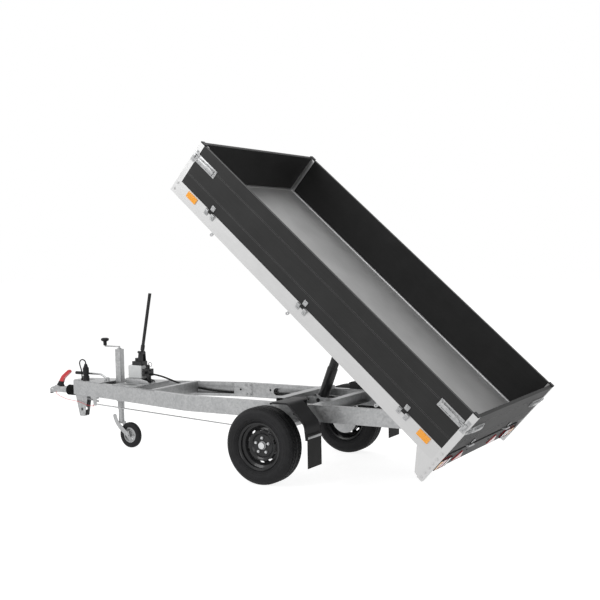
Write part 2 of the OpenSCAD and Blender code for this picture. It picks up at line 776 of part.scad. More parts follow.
// Axle tube, its brackets under the rails, the swing arms, stub axles and brake plates
module axle() {
    color(galv) place() {
        translate([tube_x, arm_y0, tube_z]) rotate([90, 0, 0]) linear_extrude(2 * arm_y0)
            difference() {
                hexagon(tube_r);
                hexagon(tube_r - 5);
            }
        both() {
            for (y = [ch_y - ch_w + 6, ch_y - 14]) translate([tube_x, y + 8, 0])
                rotate([90, 0, 0]) linear_extrude(8) polygon([
                    [-56, ch_bot], [56, ch_bot], [32, tube_z + 28], [20, tube_z + 34.6],
                    [-20, tube_z + 34.6], [-32, tube_z + 28]]);
            translate([0, arm_y0 + arm_t, 0]) rotate([90, 0, 0]) linear_extrude(arm_t) {
                translate([tube_x, tube_z]) circle(tube_r);
                translate([wheel_x, tyre_r]) circle(30);
                polygon([[tube_x + 22, tube_z + 33], [wheel_x + 16, tyre_r + 25],
                    [wheel_x - 16, tyre_r - 25], [tube_x - 22, tube_z - 33]]);
            }
            translate([wheel_x, arm_y0 + arm_t, tyre_r]) rotate([-90, 0, 0]) {
                cylinder(h = wheel_y - arm_y0 - arm_t - 20, r = 17);
                translate([0, 0, plate_y - arm_y0 - arm_t]) cylinder(h = 6, r = drum_r + 3);
                cylinder(h = plate_y - arm_y0 - arm_t, r = 34);
            }
        }
    }
}

disc_y = 16;

// Brake drum and hub of the left wheel with its nuts and cap
module hub() {
    translate([wheel_x, -wheel_y, tyre_r]) rotate([90, 0, 0]) {
        difference() {
            rotate_extrude($fn = 96) polygon([
                [17 + pin_play, -60], [40, -60], [40, -20], [drum_r - 8, -20],
                [drum_r - 8, -72], [drum_r, -72], [drum_r, -12], [74, -6], [74, disc_y],
                [17 + pin_play, disc_y]]);
        }
        translate([0, 0, disc_y - 16]) cylinder(h = 16, r = 30);
        translate([0, 0, disc_y]) rotate_extrude() polygon([[0, 0], [28, 0], [28, 20],
            [25, 26], [0, 28]]);
        for (i = [0:nut_n - 1]) rotate([0, 0, i * 360 / nut_n + 18])
            translate([nut_pcd_r, 0, disc_y + 4]) rotate([0, 0, 30]) {
                cylinder(h = 12, r = 11, $fn = 6);
                cylinder(h = 20, r = 6);
            }
    }
}

// Pressed steel wheel: rim, dished disc, vent slots and bolt holes
module rim() {
    translate([wheel_x, -wheel_y, tyre_r]) rotate([90, 0, 0]) difference() {
        rotate_extrude($fn = 120) polygon([
            [bead_r + 17, 72], [bead_r + 13, 75], [bead_r + 8, 70], [bead_r - 3, 66],
            [bead_r - 3, 44], [bead_r - 20, 32], [bead_r - 26, 20], [bead_r - 40, 26],
            [bead_r - 52, 36], [bead_r - 64, 38], [bead_r - 76, 30], [bead_r - 84, disc_y + 4],
            [30, disc_y + 4], [30, disc_y], [bead_r - 82, disc_y], [bead_r - 73, 26],
            [bead_r - 62, 33.5], [bead_r - 53, 32], [bead_r - 42, 22], [bead_r - 24, 14],
            [bead_r - 20, -10], [bead_r - 6, -28], [bead_r - 3, -66], [bead_r + 8, -70],
            [bead_r + 13, -75], [bead_r + 17, -72], [bead_r + 11, -66], [bead_r, -62],
            [bead_r, -30], [bead_r - 14, -8], [bead_r - 16, 30], [bead_r, 42],
            [bead_r, 62], [bead_r + 11, 66]]);
        for (i = [0:vent_n - 1]) rotate([0, 0, (i + 0.5) * 360 / vent_n])
            translate([bead_r - 47, 0, 10]) rotate([0, 0, 90]) linear_extrude(50)
                oblong(34, 15);
        for (i = [0:nut_n - 1]) rotate([0, 0, i * 360 / nut_n + 18])
            translate([nut_pcd_r, 0, 0]) cylinder(h = 40, r = 7);
    }
}

half_w = tyre_w / 2;

// Tyre wall from the bead over the tread, mirrored about its middle
tyre_outer = [[bead_r + 0.3, 61.7], [bead_r + 11.3, 65.7], [bead_r + 17.3, 72],
    [bead_r + 24, 80], [bead_r + 40, half_w - 4], [bead_r + 60, half_w],
    [bead_r + 80, half_w - 1], [bead_r + 98, half_w - 7], [tyre_r - 16, half_w - 15],
    [tyre_r - 7, half_w - 22], [tyre_r - 2, half_w - 34], [tyre_r, half_w - 56]];
tyre_inner = [[tyre_r - 13, half_w - 56], [tyre_r - 15, half_w - 34],
    [tyre_r - 24, half_w - 22], [bead_r + 91, half_w - 16], [bead_r + 80, half_w - 10],
    [bead_r + 60, half_w - 9], [bead_r + 40, half_w - 13], [bead_r + 20, 62],
    [bead_r + 0.3, 44]];

function mirrored(p) = [for (i = [len(p) - 1:-1:0]) [p[i][0], -p[i][1]]];

module tyre() {
    translate([wheel_x, -wheel_y, tyre_r]) rotate([90, 0, 0]) rotate_extrude($fn = 160)
        polygon(concat(tyre_outer, mirrored(tyre_outer), mirrored(tyre_inner), tyre_inner));
}

module tyre_left() {
    color("Black") place() tyre();
}

module tyre_right() {
    color("Black") place() mirror([0, 1, 0]) tyre();
}

module rim_left() {
    color(black) place() rim();
}

module rim_right() {
    color(black) place() mirror([0, 1, 0]) rim();
}

module hub_left() {
    color(galv) place() hub();
}

module hub_right() {
    color(galv) place() mirror([0, 1, 0]) hub();
}

guard_out = 745;
guard_in = 446;
guard_low_in = 545;
guard_t = 4;
// Mudguard profile over the rear of the tyre, outer side from front to bottom
guard_pts = [[88, 616], [110, 625], [226, 625], [250, 617], [370, 490], [382, 470], [394, 366]];
guard_in_pts = [[390, 366], [378, 469], [366.5, 487.5], [247.5, 613.5], [225, 621],
    [110.8, 621], [89.5, 612.3]];

// Faceted mudguards: a wide top that reaches the rail and a narrower rear
module mudguards() {
    color(black) place() both() {
        rotate([90, 0, 0]) translate([0, 0, guard_low_in]) linear_extrude(guard_out - guard_low_in)
            polygon(concat(guard_pts, guard_in_pts));
        rotate([90, 0, 0]) translate([0, 0, guard_in]) linear_extrude(guard_low_in - guard_in)
            polygon([guard_pts[0], guard_pts[1], guard_pts[2], guard_pts[3], guard_in_pts[3],
                guard_in_pts[4], guard_in_pts[5], guard_in_pts[6]]);
        // inner skirt between the mudguard's rear and the rail
        rotate([90, 0, 0]) translate([0, 0, guard_low_in]) linear_extrude(guard_t) polygon([
            [226, 623], [250, 615], [370, 488], [382, 468], [392, 367], [330, 367], [318, 430],
            [200, 560], [190, 623]]);
        // leg down to the rail's side
        translate([100, -guard_in, ch_bot + 40]) cube([120, guard_in - ch_y - 0.3, 622 - ch_bot - 40]);
    }
}

// Rubber flaps under the mudguards' rear ends
module mud_flaps() {
    color("Black") place() both() translate([guard_pts[6][0] + 0.1, -guard_out + 4, 165])
        difference() {
            cube([4, guard_out - guard_low_in - 8, 240]);
            for (y = [20, guard_out - guard_low_in - 28]) translate([-1, y, 218])
                rotate([0, 90, 0]) cylinder(h = 8, r = 4);
        }
}

// Ram

cradle_y = 58;
cradle_t = 8;
ram_dx = hinge_x - eye_u * cos(tip_angle) + (eye_w - bed_drop) * sin(tip_angle) - trun_x;
ram_dz = hinge_z + eye_u * sin(tip_angle) + (eye_w - bed_drop) * cos(tip_angle) - trun_z;
ram_lean = atan(ram_dx / ram_dz);
ram_len = sqrt(ram_dx * ram_dx + ram_dz * ram_dz);
barrel_top = 20;
head_step = 4;
closed_len = 68;
stroke = (ram_len - closed_len) / 3;
trun_r = 15;

// Two plates between the crossbeams that hold the trunnions
module ram_cradle() {
    color(galv) place() both() translate([0, -cradle_y, 0]) rotate([90, 0, 0])
        linear_extrude(cradle_t) difference() {
            union() {
                polygon([[beam_a_x1, 490], [beam_b_x0, 500], [beam_b_x0, ch_top - 6],
                    [beam_a_x1, ch_top - 2]]);
                translate([trun_x, trun_z]) circle(34);
            }
            translate([trun_x, trun_z]) circle(trun_r + pin_play);
            translate([190, 534]) circle(14);
        }
}

// Ram coordinates: the origin at the trunnion, Z along the ram
module in_ram() {
    place() translate([trun_x, 0, trun_z]) rotate([0, ram_lean, 0]) children();
}

module ram_barrel() {
    color(black) in_ram() difference() {
        union() {
            translate([0, 0, barrel_top - stage_l - 22]) cylinder(h = stage_l + 22, r = barrel_r);
            translate([0, 0, -18]) cylinder(h = 36, r = cradle_y - 2.5);
            rotate([90, 0, 0]) cylinder(h = 2 * (cradle_y + cradle_t + 4), r = trun_r,
                center = true);
            translate([0, 0, barrel_top - stage_l - 34]) cylinder(h = 13, r = barrel_r - 12);
        }
        translate([0, 0, barrel_top - stage_l - 10]) cylinder(h = stage_l + 30,
            r = stage1_r + stage_gap);
    }
}

// One stage's tube, its lower end at the given place along the ram
module stage(z, r, bore, head) {
    difference() {
        union() {
            translate([0, 0, z]) cylinder(h = stage_l, r = r);
            translate([0, 0, z + stage_l - head]) cylinder(h = head, r = r + 0.3);
        }
        translate([0, 0, z - 1]) cylinder(h = stage_l + 2, r = bore);
    }
}

module ram_stage_1() {
    color(black) in_ram() stage(barrel_top + head_step - stage_l + stroke, stage1_r,
        stage2_r + stage_gap, 0.1);
}

module ram_stage_2() {
    color(black) in_ram() stage(barrel_top + 2 * head_step - stage_l + 2 * stroke, stage2_r,
        stage3_r + stage_gap, 0.1);
}

// Last stage with the eye that takes the bed's pin
module ram_stage_3() {
    color(black) in_ram() difference() {
        union() {
            translate([0, 0, ram_len - closed_len + 12 + barrel_top - stage_l])
                cylinder(h = closed_len - 12 - barrel_top + stage_l - eye_r - 6, r = stage3_r);
            translate([0, 0, ram_len - eye_r - 7]) cylinder(h = 27, r = 24);
            translate([0, 0, ram_len]) rotate([90, 0, 0]) cylinder(h = 50, r = eye_r,
                center = true);
        }
        translate([0, 0, ram_len]) rotate([90, 0, 0]) cylinder(h = 60, r = eye_hole_r,
            center = true);
        cylinder(h = ram_len - eye_r - 14, r = stage3_r - 5);
    }
}

// Bed

// Hollow bar along X with the given outer sizes
module bar_x(l, w, h, t) {
    difference() {
        cube([l, w, h]);
        translate([-1, t, t]) cube([l + 2, w - 2 * t, h - 2 * t]);
    }
}

floor_rear = bed_over - board_t - 3;

module bed_floor() {
    color(galv) in_bed() translate([bed_front + rail_w, -in_half, floor_seat])
        cube([floor_rear - bed_front - rail_w, 2 * in_half, floor_t]);
}

// Cross-members: place ahead of the hinge axis, 1 for full width and 0 for the middle only
cross_at = [[-bed_front - 115, 1], [-bed_front - 485, 1], [-bed_front - 845, 1], [1260, 1],
    [eye_u + 70, 0], [eye_u - 70, 0], [590, 1], [300, 1], [0, 1], [-210, 1]];

// A channel open downwards, lying along Y on the longitudinals
module cross_member(u, full) {
    l = full == 1 ? 2 * in_half - 0.4 : 2 * long_y + long_w;
    difference() {
        translate([-u - cross_w / 2, -l / 2, floor_seat - cross_h]) cube([cross_w, l, cross_h]);
        translate([-u - cross_w / 2 + under_t, -l / 2 - 1, floor_seat - cross_h - 1])
            cube([cross_w - 2 * under_t, l + 2, cross_h + 1 - under_t]);
    }
}

module bed_crossmembers() {
    color(galv) in_bed() for (c = cross_at) cross_member(c[0], c[1]);
}

ear_y = 30;
long_z = floor_seat - cross_h - long_h;

// Longitudinals, the ram's ears with their pin and the hinge knuckles
module bed_underframe() {
    color(galv) in_bed() {
        both() {
            difference() {
                translate([bed_front + rail_w, -long_y - long_w, long_z])
                    cube([floor_rear - 42 - bed_front - rail_w, long_w, long_h]);
                translate([bed_front, -long_y - long_w + under_t, long_z + under_t])
                    cube([bed_l, long_w, long_h - 2 * under_t]);
            }
            difference() {
                union() {
                    translate([0, -lug_in - lug_t - lug_gap, bed_drop]) rotate([90, 0, 0])
                        cylinder(h = knuckle_w, r = 21);
                    translate([-20, -lug_in - lug_t - lug_gap - knuckle_w, bed_drop])
                        cube([40, knuckle_w, floor_seat - cross_h - bed_drop]);
                }
                translate([0, -lug_in, bed_drop]) rotate([90, 0, 0])
                    cylinder(h = 80, r = hinge_r + pin_play);
            }
            translate([-eye_u, -ear_y, 0]) rotate([90, 0, 0]) linear_extrude(lug_t) difference() {
                union() {
                    translate([0, eye_w]) circle(26);
                    translate([-50, floor_seat - cross_h]) square([100, cross_h]);
                }
                translate([0, eye_w]) circle(eye_pin_r);
            }
        }
        translate([-eye_u, 0, eye_w]) rotate([90, 0, 0])
            cylinder(h = 2 * (ear_y + lug_t + 6), r = eye_pin_r, center = true);
    }
}

sill_x0 = bed_over - board_t - 3 - 42;
sill_z0 = 30;

// Outer rails between the corner posts and the rear sill
module bed_rails() {
    color(alu) in_bed() {
        both() translate([bed_front + post_l, -bed_half, 0])
            bar_x(bed_l - 2 * post_l, rail_w, rail_h, rail_t);
        translate([bed_front + rail_w, -in_half + 0.2, sill_z0]) rotate([0, 0, 90])
            bar_x(2 * in_half - 0.4, rail_w, rail_h - sill_z0, rail_t);
        translate([sill_x0 + 42, -in_half + 0.2, sill_z0]) rotate([0, 0, 90])
            bar_x(2 * in_half - 0.4, 42, floor_seat - sill_z0, rail_t);
    }
}

module post(z0, z1) {
    difference() {
        translate([0, 0, z0]) cube([post_l, rail_w, z1 - z0]);
        translate([post_t, post_t, z0 - 1]) cube([post_l - 2 * post_t, rail_w - 2 * post_t,
            z1 - z0 + 2]);
    }
}

// Corner posts, the rear ones longer, with a slanted gusset ahead of each
module corner_posts() {
    color(alu) in_bed() both() {
        translate([bed_front, -bed_half, 0]) post(0, board_z1);
        translate([bed_over - post_l, -bed_half, 0]) post(-post_drop, board_z1);
        translate([0, -bed_half + 6, 0]) rotate([90, 0, 0]) linear_extrude(4) polygon([
            [bed_over - post_l, 0], [bed_over - post_l - 135, 0],
            [bed_over - post_l - 130, -12], [bed_over - post_l - 30, -post_drop + 12],
            [bed_over - post_l, -post_drop + 6]]);
    }
}

module post_caps() {
    color(black) in_bed() both() for (x = [bed_front, bed_over - post_l])
        translate([x + post_l / 2, -bed_half + rail_w / 2, board_z1]) {
            slab(post_l, rail_w, cap_h, 4);
            translate([0, 0, -10]) slab(post_l - 2 * post_t - 0.6, rail_w - 2 * post_t - 0.6,
                10, 1);
        }
}

// Hollow board profile: thickness along X, height along Y, outer face at X = 0
module board_profile(h) {
    cell = (h - board_wall * (board_cells + 1)) / board_cells;
    difference() {
        square([board_t, h]);
        for (i = [0:board_cells - 1])
            translate([board_wall, board_wall + i * (cell + board_wall)])
                square([board_t - 2 * board_wall, cell]);
        for (g = [0.26, 0.72]) translate([-0.01, g * h]) polygon([[0, -4], [0, 4], [1.4, 0]]);
        translate([-1, h - 1.5]) rotate([0, 0, 45]) square([2, 4]);
    }
}

// A board that lies along X, its outer face towards -Y
module board_x(l, h) {
    rotate([90, 0, 90]) linear_extrude(l) board_profile(h);
}

module front_board() {
    color(black) in_bed() translate([bed_front, in_half, rail_h]) rotate([0, 0, -90])
        board_x(2 * in_half, board_h);
}

side_x0 = bed_front + post_l + board_gap;
side_l = bed_l - 2 * post_l - 2 * board_gap;
fold_y = bed_half + 10;
fold_z = rail_h - 9;
fold_r = 8;
fold_pin_r = 4;
side_hinge_at = [bed_front + 395, -1035, -14];
gate_z0 = floor_seat - 2;
gate_x = bed_over + 10;
gate_z = gate_z0 - 9;
gate_hinge_at = [-360, 360];

// Leaf and middle knuckle of a board hinge, seen along the pin, the board's face at X = 0
module leaf(l) {
    rotate([90, 0, 90]) translate([0, 0, -l / 2]) linear_extrude(l) difference() {
        union() {
            translate([-10, -11]) circle(fold_r);
            polygon([[-10, -3.2], [-17, -7], [-4, 4], [-3, 10], [-3, 44], [0, 44], [0, 0],
                [-3, -3]]);
        }
        translate([-10, -11]) circle(fold_pin_r + pin_play);
    }
}

// Bracket knuckles, pin and plate of a board hinge on the rail
module fold_bracket(l, gap, drop) {
    for (i = [-1, 1]) translate([i * (gap / 2 + 1 + l / 2) - l / 2, 0, 0]) rotate([90, 0, 90])
        linear_extrude(l) difference() {
            union() {
                translate([-10, -11]) circle(fold_r);
                polygon([[-17, -14], [-10, -18.9], [-3, -drop], [0, -drop], [0, -6], [-6, -4]]);
            }
            translate([-10, -11]) circle(fold_pin_r);
        }
    translate([0, -10, -11]) rotate([0, 90, 0])
        cylinder(h = gap + 2 * l + 6, r = fold_pin_r, center = true);
}

module side_board() {
    translate([side_x0, -bed_half, board_z0]) board_x(side_l, rail_h + board_h - board_z0);
    for (x = side_hinge_at) translate([x, -bed_half, board_z0]) leaf(34);
}

module side_board_left() {
    color(black) in_bed() side_board();
}

module side_board_right() {
    color(black) in_bed() mirror([0, 1, 0]) side_board();
}

// Rear board, hinged at its lower edge
module tailgate() {
    color(black) in_bed() translate([bed_over, 0, 0]) rotate([0, 0, 90]) {
        translate([-in_half + board_gap, 0, gate_z0])
            board_x(2 * in_half - 2 * board_gap, board_z1 - gate_z0);
        for (x = gate_hinge_at) translate([x, 0, gate_z0]) leaf(34);
    }
}

hook_at = [bed_front + 499, -1100, -187];

// Hinge brackets on the rails and the sill, rope hooks and the latches' keepers
module bed_fittings() {
    color(galv) in_bed() {
        both() {
            for (x = side_hinge_at) translate([x, -bed_half, board_z0]) fold_bracket(30, 34, 50);
            for (x = hook_at) translate([x, -bed_half + 12, 0]) rotate([90, 0, 0])
                linear_extrude(6) difference() {
                    union() {
                        translate([-10, -22]) square([20, 22]);
                        translate([-4, -22]) circle(12);
                    }
                    translate([-2, -20]) circle(5);
                }
        }
        translate([bed_over, 0, 0]) rotate([0, 0, 90]) for (x = gate_hinge_at)
            translate([x, 0, gate_z0]) {
                fold_bracket(30, 34, 20);
                for (i = [-1, 1]) translate([i * 33 - 15, -3, -22]) cube([30, 31, 6]);
            }
    }
}

lamp_at = [bed_front + 195, 190];

module marker_lamps() {
    color("Orange") in_bed() both() for (x = lamp_at) translate([x, -bed_half - 8, 55])
        difference() {
            translate([-50, 0, 0]) cube([100, 8, 45]);
            for (i = [-1, 1]) translate([i * 50, 0, 0]) rotate([0, 0, i * 35])
                translate([-4, -8, -1]) cube([8, 9, 47]);
        }
}

board_low = -105;

// Lamp board between the rear posts, a folded tray open to the front
module lamp_board() {
    color(black) in_bed() translate([bed_over - 34, -in_half, board_low]) difference() {
        cube([20, 2 * in_half, sill_z0 - board_low]);
        translate([-1, 3, 3]) cube([18, 2 * in_half - 6, sill_z0 - board_low - 6]);
    }
}

// Rear lamps and triangles on the lamp board: middle along Y, width, height, kind
module rear_lamps() {
    color("Firebrick") in_bed() both() {
        translate([bed_over - 14, -in_half + 30, -78]) cube([12, 200, 84]);
        translate([bed_over - 14, -330, -75]) rotate([90, 0, 90]) linear_extrude(8)
            polygon([[-75, 0], [75, 0], [0, 78]]);
    }
}

// Over-centre latch along X: the base plate, its lever and the tongue at the +X end
module latch(l, tongue) {
    translate([0, -3, 0]) cube([l, 3, 60]);
    translate([10, -8, 12]) cube([l - 30, 5.5, 36]);
    rotate([90, 0, 90]) translate([0, 0, 20]) linear_extrude(l - 60) polygon([
        [-8, 16], [-15, 20], [-17, 30], [-15, 40], [-8, 44]]);
    translate([l - 0.01, -6, 20]) cube([tongue, 4, 20]);
    translate([l + tongue - 6, -9, 18]) cube([6, 7, 24]);
}

latch_z = 302;

module side_latches() {
    translate([bed_over - post_l - board_gap - 210, -bed_half, latch_z]) latch(208, 36);
    translate([bed_front + post_l + board_gap + 210, -bed_half, latch_z]) mirror([1, 0, 0])
        latch(208, 36);
}

module latches_left() {
    color(galv) in_bed() side_latches();
}

module latches_right() {
    color(galv) in_bed() mirror([0, 1, 0]) side_latches();
}

module tailgate_latches() {
    color(galv) in_bed() translate([bed_over, 0, 0]) rotate([0, 0, 90]) {
        translate([in_half - board_gap - 250, 0, latch_z - 30]) latch(248, 32);
        mirror([1, 0, 0]) translate([in_half - board_gap - 250, 0, latch_z - 30]) latch(248, 32);
    }
}

rail_left();
rail_right();
crossbars();
crossbeams();
hinge_beam();
overrun_housing();
coupling_head();
coupling_handle();
bellows();
front_stand();
handbrake();
hand_grips();
brake_rod();
jockey_tube();
jockey_crank();
pump_tank();
pump_body();
hose();
axle();
mudguards();
mud_flaps();
ram_cradle();
plug_holder();
plug();
plug_lead();
breakaway_cable();
tyre_left();
tyre_right();
rim_left();
rim_right();
hub_left();
hub_right();
jockey_leg();
jockey_fork();
jockey_tyre();
jockey_rim();
pump_lever();
ram_barrel();
ram_stage_1();
ram_stage_2();
ram_stage_3();
bed_floor();
bed_underframe();
bed_crossmembers();
bed_rails();
corner_posts();
post_caps();
front_board();
bed_fittings();
marker_lamps();
lamp_board();
rear_lamps();
side_board_left();
side_board_right();
tailgate();
latches_left();
latches_right();
tailgate_latches();
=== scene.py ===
import bpy
import bmesh
import math
from mathutils import Matrix, Vector


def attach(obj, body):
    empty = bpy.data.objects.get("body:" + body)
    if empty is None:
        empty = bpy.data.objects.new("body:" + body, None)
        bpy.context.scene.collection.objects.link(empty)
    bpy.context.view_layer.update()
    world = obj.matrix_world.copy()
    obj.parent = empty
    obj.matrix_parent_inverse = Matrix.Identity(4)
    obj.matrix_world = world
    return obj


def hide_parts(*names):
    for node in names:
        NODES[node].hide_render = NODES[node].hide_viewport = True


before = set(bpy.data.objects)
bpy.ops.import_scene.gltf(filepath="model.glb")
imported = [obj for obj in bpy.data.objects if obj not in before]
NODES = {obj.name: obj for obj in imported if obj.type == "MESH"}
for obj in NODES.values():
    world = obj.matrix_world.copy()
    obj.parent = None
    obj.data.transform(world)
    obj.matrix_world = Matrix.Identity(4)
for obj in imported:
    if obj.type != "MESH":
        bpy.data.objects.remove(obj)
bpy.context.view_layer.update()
SHIFT = 0.575
TIP = math.radians(41.5)
HINGE = Vector((1.129 + SHIFT, 0, 0.564))

# Camera at the photograph's viewing angle

AZ, EL, ROLL = math.radians(30.557), math.radians(4.509), math.radians(-1.013)
right = Vector((math.cos(AZ), math.sin(AZ), 0))
back = Vector((math.sin(AZ) * math.cos(EL), -math.cos(AZ) * math.cos(EL), math.sin(EL)))
up = back.cross(right)
r2 = right * math.cos(ROLL) + up * math.sin(ROLL)
u2 = -right * math.sin(ROLL) + up * math.cos(ROLL)
cam_data = bpy.data.cameras.new("camera")
cam = bpy.data.objects.new("camera", cam_data)
bpy.context.scene.collection.objects.link(cam)
cam.matrix_world = Matrix((
    (r2.x, u2.x, back.x, 4.00507 + SHIFT),
    (r2.y, u2.y, back.y, -6.77320),
    (r2.z, u2.z, back.z, 1.71868),
    (0, 0, 0, 1)))
cam_data.sensor_width = 36
cam_data.lens = 1011.794 / 600 * 36
cam_data.shift_x = -0.01889
cam_data.shift_y = 0.04628
cam_data.clip_start, cam_data.clip_end = 0.05, 200
bpy.context.scene.camera = cam
bpy.context.scene.view_settings.view_transform = "Standard"

# Mesh helpers


def link(name, mesh):
    o = bpy.data.objects.new(name, mesh)
    bpy.context.scene.collection.objects.link(o)
    return o


def from_bm(name, bm, smooth=35):
    mesh = bpy.data.meshes.new(name)
    bm.normal_update()
    bm.to_mesh(mesh)
    bm.free()
    o = link(name, mesh)
    shade(o, smooth)
    return o


def shade(o, angle=35):
    mesh = o.data
    limit = math.radians(angle)
    bm = bmesh.new()
    bm.from_mesh(mesh)
    for f in bm.faces:
        f.smooth = True
    for e in bm.edges:
        e.smooth = len(e.link_faces) == 2 and e.calc_face_angle(0) < limit
    bm.to_mesh(mesh)
    bm.free()


def put(o, body, mat):
    o.data.materials.clear()
    o.data.materials.append(mat)
    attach(o, body)
    return o


def basis(x, z):
    """A rotation whose X and Z axes point along the given directions."""
    z = Vector(z).normalized()
    x = Vector(x)
    x = (x - z * x.dot(z)).normalized()
    y = z.cross(x)
    return Matrix(((x.x, y.x, z.x), (x.y, y.y, z.y), (x.z, y.z, z.z))).to_4x4()


def turn(points, segs, matrix, closed=False):
    """A surface of revolution about Z of (radius, height) points, as a bmesh."""
    bm = bmesh.new()
    rings = []
    for r, h in points:
        if r < 1e-7:
            rings.append([bm.verts.new(matrix @ Vector((0, 0, h)))])
        else:
            rings.append([bm.verts.new(matrix @ Vector((
                r * math.cos(2 * math.pi * i / segs), r * math.sin(2 * math.pi * i / segs), h)))
                for i in range(segs)])
    pairs = list(zip(rings, rings[1:]))
    if closed:
        pairs.append((rings[-1], rings[0]))
    for a, b in pairs:
        for i in range(segs):
            j = (i + 1) % segs
            if len(a) == 1 and len(b) == 1:
                continue
            if len(a) == 1:
                bm.faces.new((a[0], b[i], b[j]))
            elif len(b) == 1:
                bm.faces.new((a[i], b[0], a[j]))
            else:
                bm.faces.new((a[i], b[i], b[j], a[j]))
    bmesh.ops.recalc_face_normals(bm, faces=bm.faces)
    return bm


def smooth_path(pts, per=6):
    """Catmull-Rom points through the given ones."""
    p = [Vector(x) for x in pts]
    p = [p[0] * 2 - p[1]] + p + [p[-1] * 2 - p[-2]]
    out = []
    for i in range(1, len(p) - 2):
        for k in range(per):
            t = k / per
            a, b, c, d = p[i - 1], p[i], p[i + 1], p[i + 2]
            out.append(0.5 * (2 * b + (c - a) * t + (2 * a - 5 * b + 4 * c - d) * t * t
                              + (3 * b - a - 3 * c + d) * t ** 3))
    out.append(p[-2])
    return out


def sweep(path, radius, sides=12, caps=True):
    """A round tube along points, as a bmesh; radius is a number or one per point."""
    bm = bmesh.new()
    n = len(path)
    rad = radius if isinstance(radius, (list, tuple)) else [radius] * n
    side = None
    rings = []
    for i, p in enumerate(path):
        d = (path[min(i + 1, n - 1)] - path[max(i - 1, 0)]).normalized()
        if side is None:
            side = d.orthogonal().normalized()
        side = (side - d * side.dot(d)).normalized()
        other = d.cross(side)
        rings.append([bm.verts.new(p + rad[i] * (math.cos(2 * math.pi * k / sides) * side
                                                + math.sin(2 * math.pi * k / sides) * other))
                      for k in range(sides)])
    for a, b in zip(rings, rings[1:]):
        for k in range(sides):
            bm.faces.new((a[k], a[(k + 1) % sides], b[(k + 1) % sides], b[k]))
    if caps:
        bm.faces.new(list(reversed(rings[0])))
        bm.faces.new(rings[-1])
    bmesh.ops.recalc_face_normals(bm, faces=bm.faces)
    return bm


def block(bm, lo, hi, matrix=None, bevel=0.0, segs=2):
    """Adds a box with rounded edges to a bmesh."""
    t = bmesh.new()
    bmesh.ops.create_cube(t, size=1)
    for v in t.verts:
        v.co = Vector([lo[i] + (v.co[i] + 0.5) * (hi[i] - lo[i]) for i in range(3)])
    if bevel:
        bmesh.ops.bevel(t, geom=t.edges[:], offset=bevel, segments=segs, profile=0.5,
                        affect="EDGES")
    merge(bm, t, matrix)


def merge(bm, other, matrix=None):
    if matrix is not None:
        bmesh.ops.transform(other, matrix=matrix, verts=other.verts)
    m = bpy.data.meshes.new("tmp")
    other.to_mesh(m)
    other.free()
    bm.from_mesh(m)
    bpy.data.meshes.remove(m)


def extrude(bm, outline, lo, hi, matrix=None, bevel=0.0, segs=2):
    """Adds the prism of an XY outline from Z lo to hi."""
    t = bmesh.new()
    bottom = [t.verts.new((x, y, lo)) for x, y in outline]
    top = [t.verts.new((x, y, hi)) for x, y in outline]
    t.faces.new(list(reversed(bottom)))
    t.faces.new(top)
    n = len(outline)
    for i in range(n):
        t.faces.new((bottom[i], bottom[(i + 1) % n], top[(i + 1) % n], top[i]))
    bmesh.ops.recalc_face_normals(t, faces=t.faces)
    if bevel:
        bmesh.ops.bevel(t, geom=t.edges[:], offset=bevel, segments=segs, profile=0.5,
                        affect="EDGES")
    merge(bm, t, matrix)


def hexbolt(bm, at, axis, af, head, washer=True):
    """Adds a hexagon head with a chamfered top and a washer."""
    m = Matrix.Translation(Vector(at)) @ basis(Vector(axis).orthogonal(), axis)
    r = af / math.sqrt(3)
    t0 = 0.0
    if washer:
        w = af * 0.16
        merge(bm, turn([(0, 0), (af * 1.02, 0), (af * 1.02, w * 0.8), (af * 0.98, w), (0, w)], 28,
                       m))
        t0 = w
    t = bmesh.new()
    rows = [(r * 0.999, t0), (r, t0 + head * 0.82), (r * 0.86, t0 + head)]
    rings = [[t.verts.new((rr * math.cos(math.pi / 3 * i), rr * math.sin(math.pi / 3 * i), h))
              for i in range(6)] for rr, h in rows]
    for a, b in zip(rings, rings[1:]):
        for i in range(6):
            t.faces.new((a[i], a[(i + 1) % 6], b[(i + 1) % 6], b[i]))
    t.faces.new(rings[-1])
    t.faces.new(list(reversed(rings[0])))
    merge(bm, t, m)


def bed_matrix():
    """Maps bed coordinates (X rearwards, Z up from the rail's lower edge) to the frame."""
    return (Matrix.Translation(HINGE) @ Matrix.Rotation(TIP, 4, "Y")
            @ Matrix.Translation((0, 0, -0.018)))


BED = bed_matrix()

# Materials


def material(name):
    m = bpy.data.materials.new(name)
    m.use_nodes = True
    nt = m.node_tree
    b = nt.nodes["Principled BSDF"]
    return m, nt, b


def node(nt, kind, **inputs):
    n = nt.nodes.new(kind)
    for k, v in inputs.items():
        if k in n.inputs:
            n.inputs[k].default_value = v
        else:
            setattr(n, k, v)
    return n


def coords(nt, tipped=False, stretch=(1, 1, 1)):
    tc = nt.nodes.new("ShaderNodeTexCoord")
    mp = nt.nodes.new("ShaderNodeMapping")
    mp.vector_type = "TEXTURE"
    if tipped:
        mp.inputs["Rotation"].default_value = (0, TIP, 0)
    mp.inputs["Scale"].default_value = stretch
    nt.links.new(tc.outputs["Object"], mp.inputs["Vector"])
    return mp.outputs["Vector"]


def noise(nt, vec, scale, detail=4, rough=0.55, dist=0.0):
    n = nt.nodes.new("ShaderNodeTexNoise")
    n.inputs["Scale"].default_value = scale
    n.inputs["Detail"].default_value = detail
    n.inputs["Roughness"].default_value = rough
    n.inputs["Distortion"].default_value = dist
    nt.links.new(vec, n.inputs["Vector"])
    return n.outputs["Fac"]


